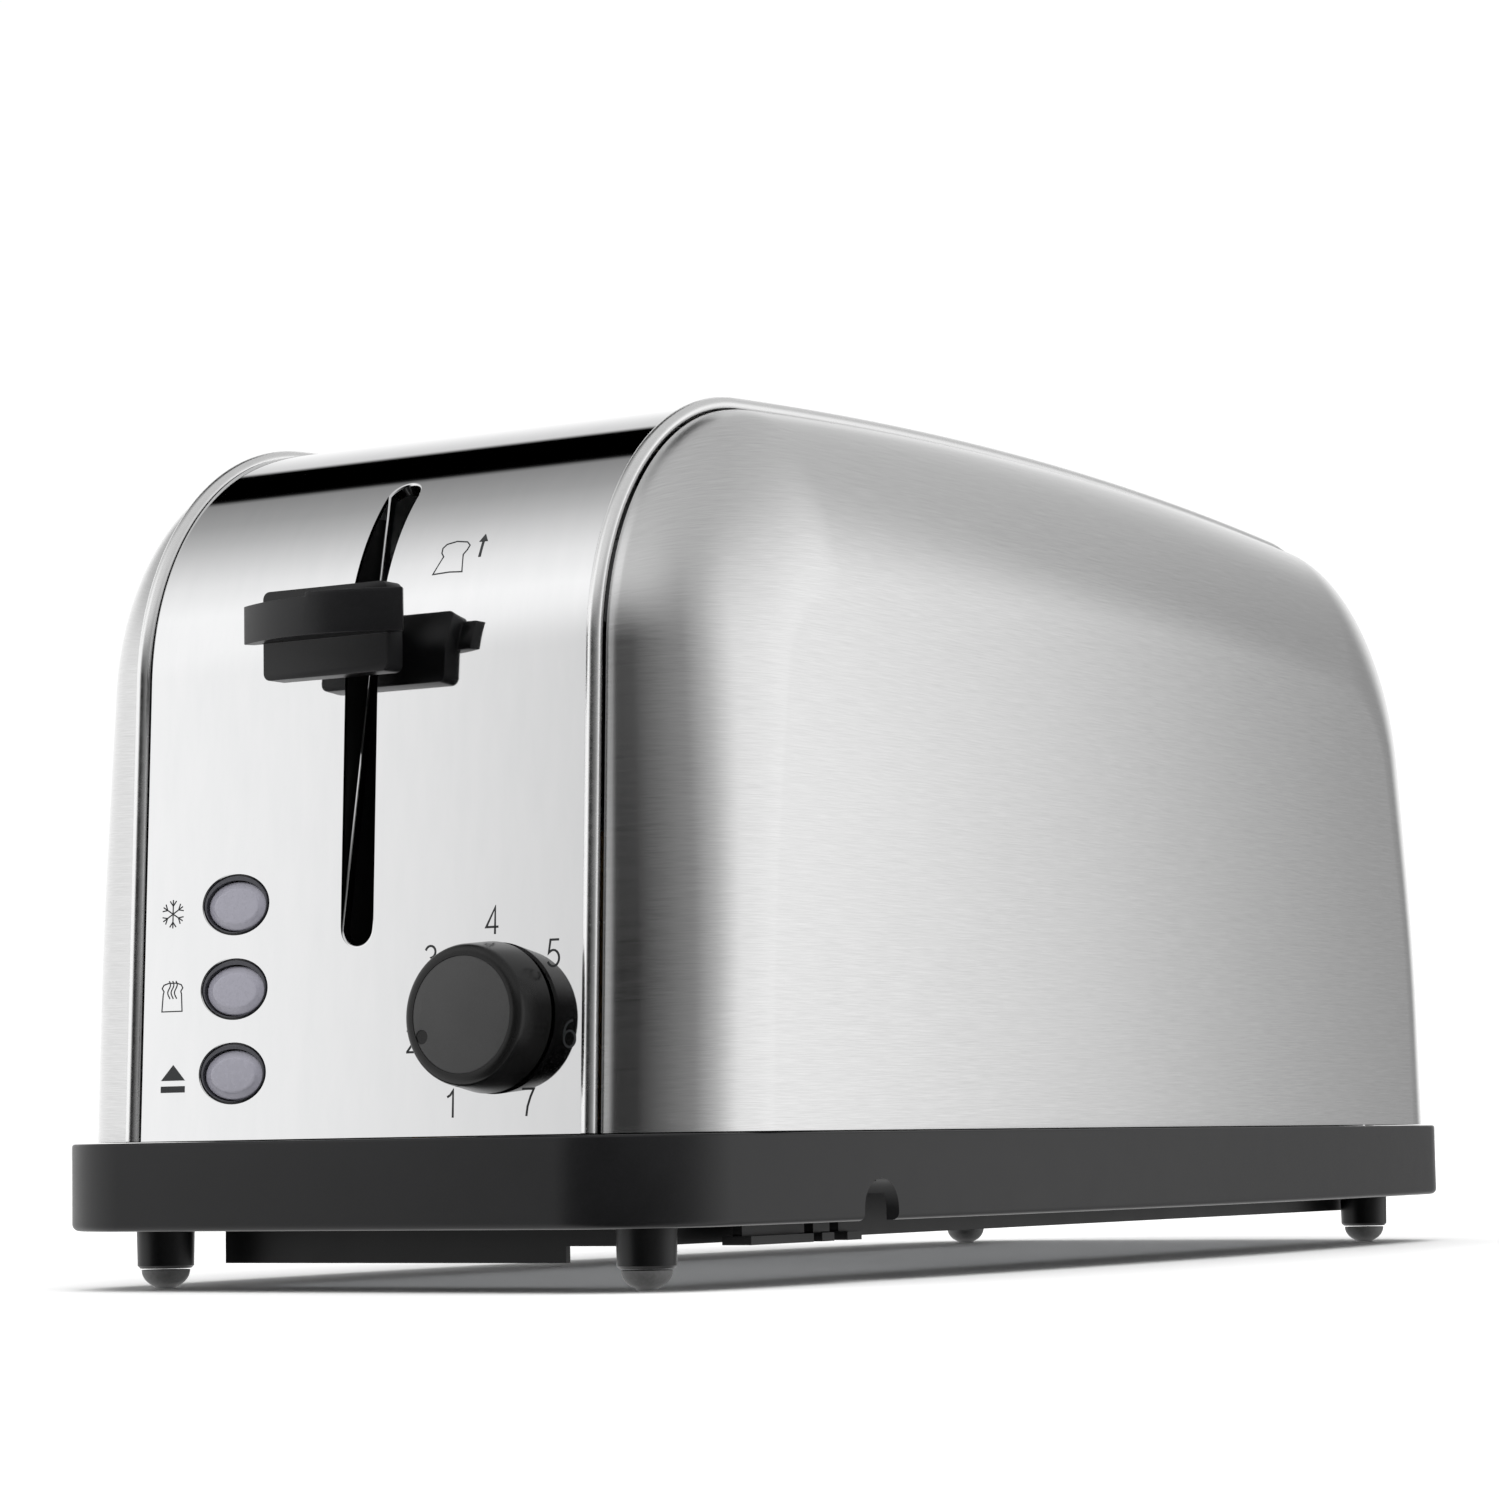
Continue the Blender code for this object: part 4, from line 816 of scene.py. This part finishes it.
def buttons():
    centre_x, drop = 0.12, -0.35
    carrier = moved(prism([p[:2] for p in rounded_box(11.5, 27, 2, 6, 0, 4)], "Z", -3.6, -1.1),
                    on_front(BUTTON_X, 58.5))
    holes, collars = [], []
    for z in BUTTONS.values():
        here = on_front(BUTTON_X, z)
        holes.append(moved(prism(oval(centre_x, drop, *CAP_HOLE_RADII, 64), "Z", -6, 3), here))
        rings = []
        for grow, height in ((0.0, -2.5), (0.0, -0.05), (-0.12, 0.08)):
            radii = [radius + grow for radius in COLLAR_RADII]
            rings.append([(x, y, height) for x, y in oval(0, 0, *radii, 64)])
        collars.append(moved(loft(rings), here))
    solid("button_carrier", carrier, "collar", "housing", ["button_frame"], joins=collars, cuts=holes, angle=35)
    for name, z in BUTTONS.items():
        rings = []
        for wide, tall, height in CAP_RINGS:
            rings.append([(x, y, height) for x, y in oval(centre_x, drop, wide, tall, 72)])
        cap = moved(loft(rings), on_front(BUTTON_X, z))
        solid(name.replace("button", "cap"), cap, "smoke", name.split("_")[1] + "_button", [name], angle=60)


def lever_handle():
    """Back plate, and a bowed paddle before it whose top steps up on the right."""
    back, front = HANDLE_BACK_Y, HANDLE_BACK_Y - HANDLE_PLATE
    corners = rounded_box(HANDLE_HALF_WIDTH, HANDLE_HALF_HEIGHT, 1.6, 6)
    outline = [(x, LEVER_Z + z) for x, z, _, _ in corners]
    plate = prism(outline, "Y", front, back)
    half, steps, rear = GRIP_HALF_WIDTH, 40, front + 0.3
    shares = [2 * i / steps - 1 for i in range(steps + 1)]
    bow = [(share * half, rear - GRIP_REACH - GRIP_BOW * (1 - share * share)) for share in shares]
    grip = prism([(half - 1.2, rear + 1), (-half + 1.2, rear + 1)] + bow, "Z", LEVER_Z - 1.4, LEVER_Z + 6.5)
    right = [point for point in bow if point[0] >= 0.0]
    upper = prism([(half - 1.2, rear + 1), (-0.9, rear + 1)] + right, "Z", LEVER_Z + 5.0, LEVER_Z + 7.4)
    solid("lever_grip", plate, "black", "carriage", ["lever_handle"], joins=[grip, upper], bevel=0.5, angle=40)


# ---- Bread guides of round wire


def wire_grid(name, node, body):
    low, high = (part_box(node)[k] / MM for k in (0, 1))
    x = (low.x + high.x) / 2
    shape = bmesh.new()
    radius = 0.8

    def bar(start, end):
        start, end = Vector(start), Vector(end)
        turn = (end - start).to_track_quat("Z", "Y").to_matrix().to_4x4()
        rod = prism(oval(0, 0, radius, radius, 10), "Z", 0, (end - start).length)
        rod.transform(Matrix.Translation(start) @ turn)
        mesh = bpy.data.meshes.new("rod")
        rod.to_mesh(mesh)
        rod.free()
        shape.from_mesh(mesh)
        bpy.data.meshes.remove(mesh)

    y0, y1 = low.y + radius - SHIFT_Y, high.y - radius - SHIFT_Y
    for z in (low.z + radius, high.z - radius):
        bar((x, y0 - radius, z), (x, y1 + radius, z))
    for i in range(12):
        y = y0 + (y1 - y0) * i / 11
        bar((x, y, low.z), (x, y, high.z))
    return solid(name, shape, "wire", body, [node], angle=50)


# ---- Printed marks


def stroke(sheet, line, width, x, z, closed=False):
    """A line of constant width, flat on the band; its points are offsets from (x, z)."""
    arc = arc_at_z(z)
    line = [Vector(p) for p in line]
    count = len(line)
    sides = []
    for i, point in enumerate(line):
        before = line[i - 1] if i or closed else point
        after = line[(i + 1) % count] if i + 1 < count or closed else point
        first, second = (point - before), (after - point)
        first = first.normalized() if first.length > 1e-9 else second.normalized()
        second = second.normalized() if second.length > 1e-9 else first
        middle = (first + second).normalized() if (first + second).length > 1e-6 else first
        across = Vector((-middle.y, middle.x))
        grow = width / 2 / max(across.dot(Vector((-first.y, first.x))), 0.4)
        sides.append((point + across * grow, point - across * grow))
    spots = [p for pair in sides for p in pair]
    found = [band_point(x + p.x, arc + p.y, INK_LIFT) for p in spots]
    faces = [(2 * i, 2 * i + 1, 2 * (i + 1) % (2 * count) + 1, 2 * (i + 1) % (2 * count))
             for i in range(count if closed else count - 1)]
    sheet.patch([p for p, _ in found], [n for _, n in found], faces)


def area(sheet, corners, x, z):
    arc = arc_at_z(z)
    found = [band_point(x + a, arc + b, INK_LIFT) for a, b in corners]
    sheet.patch([p for p, _ in found], [n for _, n in found], [tuple(range(len(found)))])


def curve(x, y, radius, start, end, steps=14, tall=1.0):
    turns = [math.radians(start + (end - start) * i / steps) for i in range(steps + 1)]
    return [(x + radius * math.cos(t), y + radius * tall * math.sin(t)) for t in turns]


NUMERALS = {
    1: [[(0.08, 0.76), (0.22, 0.84), (0.34, 1.0), (0.34, 0.0)]],
    2: [curve(0.28, 0.73, 0.26, 175, -35) + [(0.02, 0.02), (0.02, 0.0), (0.55, 0.0)]],
    3: [curve(0.27, 0.755, 0.225, 165, -80) + curve(0.27, 0.27, 0.26, 80, -165)],
    4: [[(0.42, 0.0), (0.42, 1.0), (0.02, 0.27), (0.57, 0.27)]],
    5: [[(0.52, 1.0), (0.14, 1.0), (0.07, 0.52)] + curve(0.27, 0.32, 0.26, 125, -155, 16, 1.15)],
    6: [curve(0.28, 0.31, 0.25, 0, 360, 24, 1.2), curve(0.40, 0.42, 0.37, 85, 178, 12, 1.5)],
    7: [[(0.02, 1.0), (0.54, 1.0), (0.40, 0.72), (0.27, 0.36), (0.22, 0.0)]],
}


def printed_marks():
    sheet = Sheet()
    for number, lines in NUMERALS.items():
        turn = math.radians((4 - number) * NUMERAL_PITCH)
        x = NUMERAL_X - NUMERAL_RADIUS * math.sin(turn)
        z = KNOB_Z + NUMERAL_RADIUS * math.cos(turn)
        for line in lines:
            points = [((a - 0.29) * NUMERAL_HEIGHT, (b - 0.5) * NUMERAL_HEIGHT) for a, b in line]
            stroke(sheet, points, NUMERAL_LINE, x, z)
    sheet.piece("dial_numerals", "ink", "housing")

    sheet = Sheet()
    for i in range(6):
        turn = math.radians(90 + 60 * i)
        ray, side = Vector((math.cos(turn), math.sin(turn))), Vector((-math.sin(turn), math.cos(turn)))
        stroke(sheet, [(0, 0), ray * 3.0], THIN_LINE, *FROST_AT)
        for hand in (-1, 1):
            stroke(sheet, [ray * 1.7, ray * 2.75 + side * hand * 0.85], THIN_LINE, *FROST_AT)
    sheet.piece("frost_mark", "ink", "housing")

    sheet = Sheet()
    slice_line = [(-2.7, -3.0), (-2.45, 0.6), (-2.25, 1.2), (-2.75, 1.9), (-2.3, 2.6), (-1.0, 2.95), (1.0, 2.95),
                  (2.3, 2.6), (2.75, 1.9), (2.25, 1.2), (2.45, 0.6), (2.7, -3.0)]
    stroke(sheet, slice_line, THIN_LINE, *REHEAT_AT, closed=True)
    for shift in (-0.9, 0.0, 0.9):
        wave = [(shift + 0.35 * math.sin(t * 2.4), 3.4 - 1.25 * t) for t in np.linspace(0, 3.0, 12)]
        stroke(sheet, wave, THIN_LINE, *REHEAT_AT)
    sheet.piece("reheat_mark", "ink", "housing")

    sheet = Sheet()
    area(sheet, [(-3.2, -0.6), (3.2, -0.6), (0, 2.7)], *CANCEL_AT)
    area(sheet, [(-3.2, -3.1), (3.2, -3.1), (3.2, -1.75), (-3.2, -1.75)], *CANCEL_AT)
    sheet.piece("cancel_mark", "ink", "housing")

    sheet = Sheet()
    slice_line = [(-4.1, -3.7), (-2.4, 0.3), (-3.1, 1.2), (-3.2, 2.4), (-2.4, 3.3), (0.0, 3.8), (2.7, 3.4),
                  (3.6, 2.5), (3.2, 1.4), (2.5, 0.4), (3.2, -3.7), (0.0, -3.5)]
    stroke(sheet, slice_line, SLICE_LINE, *SLICE_AT, closed=True)
    stroke(sheet, [(0, -2.6), (0, 1.6)], ARROW_LINE, *ARROW_AT)
    area(sheet, [(-1.1, 1.1), (1.1, 1.1), (0, 3.0)], *ARROW_AT)
    sheet.piece("lift_mark", "ink", "housing")


# ---- CAD nodes that stay, with finer finishes


def carried_over():
    finishes = {
        "zinc": ["crumb_tray", "end_plate_front", "end_plate_rear", "chamber_top_plate", "reflector_left",
                 "reflector_right", "bread_rack_left", "bread_rack_right", "carriage_plate", "latch_armature",
                 "guide_rod_left", "guide_rod_right", "guide_bracket", "latch_magnet", "browning_control",
                 "knob_shaft"],
        "wire": ["return_spring"],
        "black": ["crumb_tray_handle", "cord_gland", "carriage_slider", "mains_switch", "terminal_block"],
        # Lever arm and slot liner get near-black painted shade, so the inside of the lever slot reads dark
        "slot_shade_black": ["lever_arm", "slot_liner"],
        "mica": ["heater_card_left", "heater_card_centre", "heater_card_right"],
        "ribbon": ["heating_wire_left_outer", "heating_wire_left_inner", "heating_wire_right_inner",
                   "heating_wire_right_outer"],
        "board": ["control_board"],
        "copper": ["magnet_coil"],
    }
    for finish_name, names in finishes.items():
        for name in names:
            materials = frame["nodes"][name].data.materials
            materials.clear()
            materials.append(MATERIAL[finish_name])


# ---- Studio


def studio():
    sheet = bpy.data.meshes.new("floor")
    reach = FLOOR_REACH
    sheet.from_pydata([(-reach, -reach, 0), (reach, -reach, 0), (reach, reach, 0), (-reach, reach, 0)], [],
                      [(0, 1, 2, 3)])
    floor = link("floor", sheet)
    made, tree, shader = nodes_of("studio_floor")
    tree.links.new(ramp(tree, noise(tree, (3, 3, 3)), [(0.3, 0.90), (0.7, 0.92)]), shader.inputs["Base Color"])
    shader.inputs["Roughness"].default_value = 0.7
    floor.data.materials.append(made)
    floor.visible_glossy = False


def world():
    """A white studio: light panels round the toaster, with dark gaps between them."""
    made = bpy.data.worlds.new("studio")
    bpy.context.scene.world = made
    made.use_nodes = True
    tree = made.node_tree
    split = add_node(tree, "ShaderNodeSeparateXYZ")
    coordinates = add_node(tree, "ShaderNodeTexCoord")
    tree.links.new(coordinates.outputs["Generated"], split.inputs[0])

    def turned(first, second):
        angle = add_node(tree, "ShaderNodeMath", operation="ARCTAN2")
        tree.links.new(split.outputs[first], angle.inputs[0])
        tree.links.new(split.outputs[second], angle.inputs[1])
        share = add_node(tree, "ShaderNodeMapRange")
        share.inputs["From Min"].default_value = -math.pi
        share.inputs["From Max"].default_value = math.pi
        tree.links.new(angle.outputs[0], share.inputs["Value"])
        return share.outputs[0]

    def stops(pairs):
        return [((degrees + 180) / 360, shade) for degrees, shade in pairs]

    around = ramp(tree, turned("Y", "X"), stops([
        (-180, 1.0), (-131, 1.05), (-128, 0.96), (-124, 0.74), (-116, 0.40), (-108, 0.0), (-76, 0.0), (-43, 0.12),
        (-13, 0.26), (4, 0.56), (20, 1.04), (54, 1.14), (58, 1.0), (62, 0.84), (67, 0.56), (72, 0.38), (86, 0.30),
        (98, 0.9), (108, 1.05), (180, 1.0)]))
    over = ramp(tree, turned("Z", "Y"), stops([
        (-10, 1.0), (20, 0.9), (47, 0.70), (50, 0.0), (73, 0.0), (76, 0.27), (91, 0.38), (102, 0.52), (125, 0.90),
        (140, 1.06), (180, 1.0)]))
    beside = ramp(tree, turned("Z", "Y"), stops([
        (-10, 0.9), (30, 0.62), (60, 0.55), (110, 0.60), (150, 0.8), (180, 1.0)]))
    strip = add_node(tree, "ShaderNodeMath", operation="COMPARE")
    strip.inputs[1].default_value = -0.5
    strip.inputs[2].default_value = 0.24
    tree.links.new(split.outputs["X"], strip.inputs[0])
    top = add_node(tree, "ShaderNodeMix", data_type="RGBA")
    tree.links.new(strip.outputs[0], top.inputs["Factor"])
    tree.links.new(beside, top.inputs[6])
    tree.links.new(over, top.inputs[7])
    lift = add_node(tree, "ShaderNodeMapRange", interpolation_type="SMOOTHSTEP")
    lift.inputs["From Min"].default_value = 0.22
    lift.inputs["From Max"].default_value = 0.62
    tree.links.new(split.outputs["Z"], lift.inputs["Value"])
    mixed = add_node(tree, "ShaderNodeMix", data_type="RGBA")
    tree.links.new(lift.outputs[0], mixed.inputs["Factor"])
    tree.links.new(around, mixed.inputs[6])
    tree.links.new(top.outputs[2], mixed.inputs[7])
    tree.links.new(mixed.outputs[2], tree.nodes["Background"].inputs["Color"])
    tree.nodes["Background"].inputs["Strength"].default_value = 1.0


def overhead_light():
    """Broad soft light from above, for the floor and the plastics; the steel doesn't mirror it."""
    light = bpy.data.lights.new("overhead", "SUN")
    light.energy, light.angle = SUN_STRENGTH, SUN_ANGLE
    item = bpy.data.objects.new("overhead", light)
    bpy.context.scene.collection.objects.link(item)
    item.rotation_euler = (0.25, 0.1, 0)
    item.visible_glossy = False


def camera():
    data = bpy.data.cameras.new("camera")
    item = bpy.data.objects.new("camera", data)
    bpy.context.scene.collection.objects.link(item)
    turn, pitch, roll = (math.radians(a) for a in CAMERA_ANGLES)
    forward = Vector((-math.sin(turn) * math.cos(pitch), math.cos(turn) * math.cos(pitch), math.sin(pitch)))
    right = Vector((math.cos(turn), math.sin(turn), 0))
    up = right.cross(forward)
    across = right * math.cos(roll) + up * math.sin(roll)
    upward = up * math.cos(roll) - right * math.sin(roll)
    turned = Matrix((across, upward, -forward)).transposed().to_4x4()
    item.matrix_world = Matrix.Translation(CAMERA_PLACE) @ turned
    data.sensor_width = SENSOR_WIDTH
    data.lens = LENS
    data.clip_start, data.clip_end = 0.01, 200.0
    bpy.context.scene.camera = item


# ---- Everything, in order

centre_band()
for hand, way in (("left", -1), ("right", 1)):
    edge_bead(f"trim_{hand}", way)
    side_panel(f"brushed_{hand}", way)
base_shell()
feet()
screws()
browning_knob()
buttons()
lever_handle()
for hand in ("left", "right"):
    for side_name in ("outer", "inner"):
        wire_grid(f"wires_{hand}_{side_name}", f"bread_guide_{hand}_{side_name}", f"guide_{hand}_{side_name}")
printed_marks()
carried_over()
studio()
world()
overhead_light()
camera()
bpy.context.scene.view_settings.view_transform = "Standard"
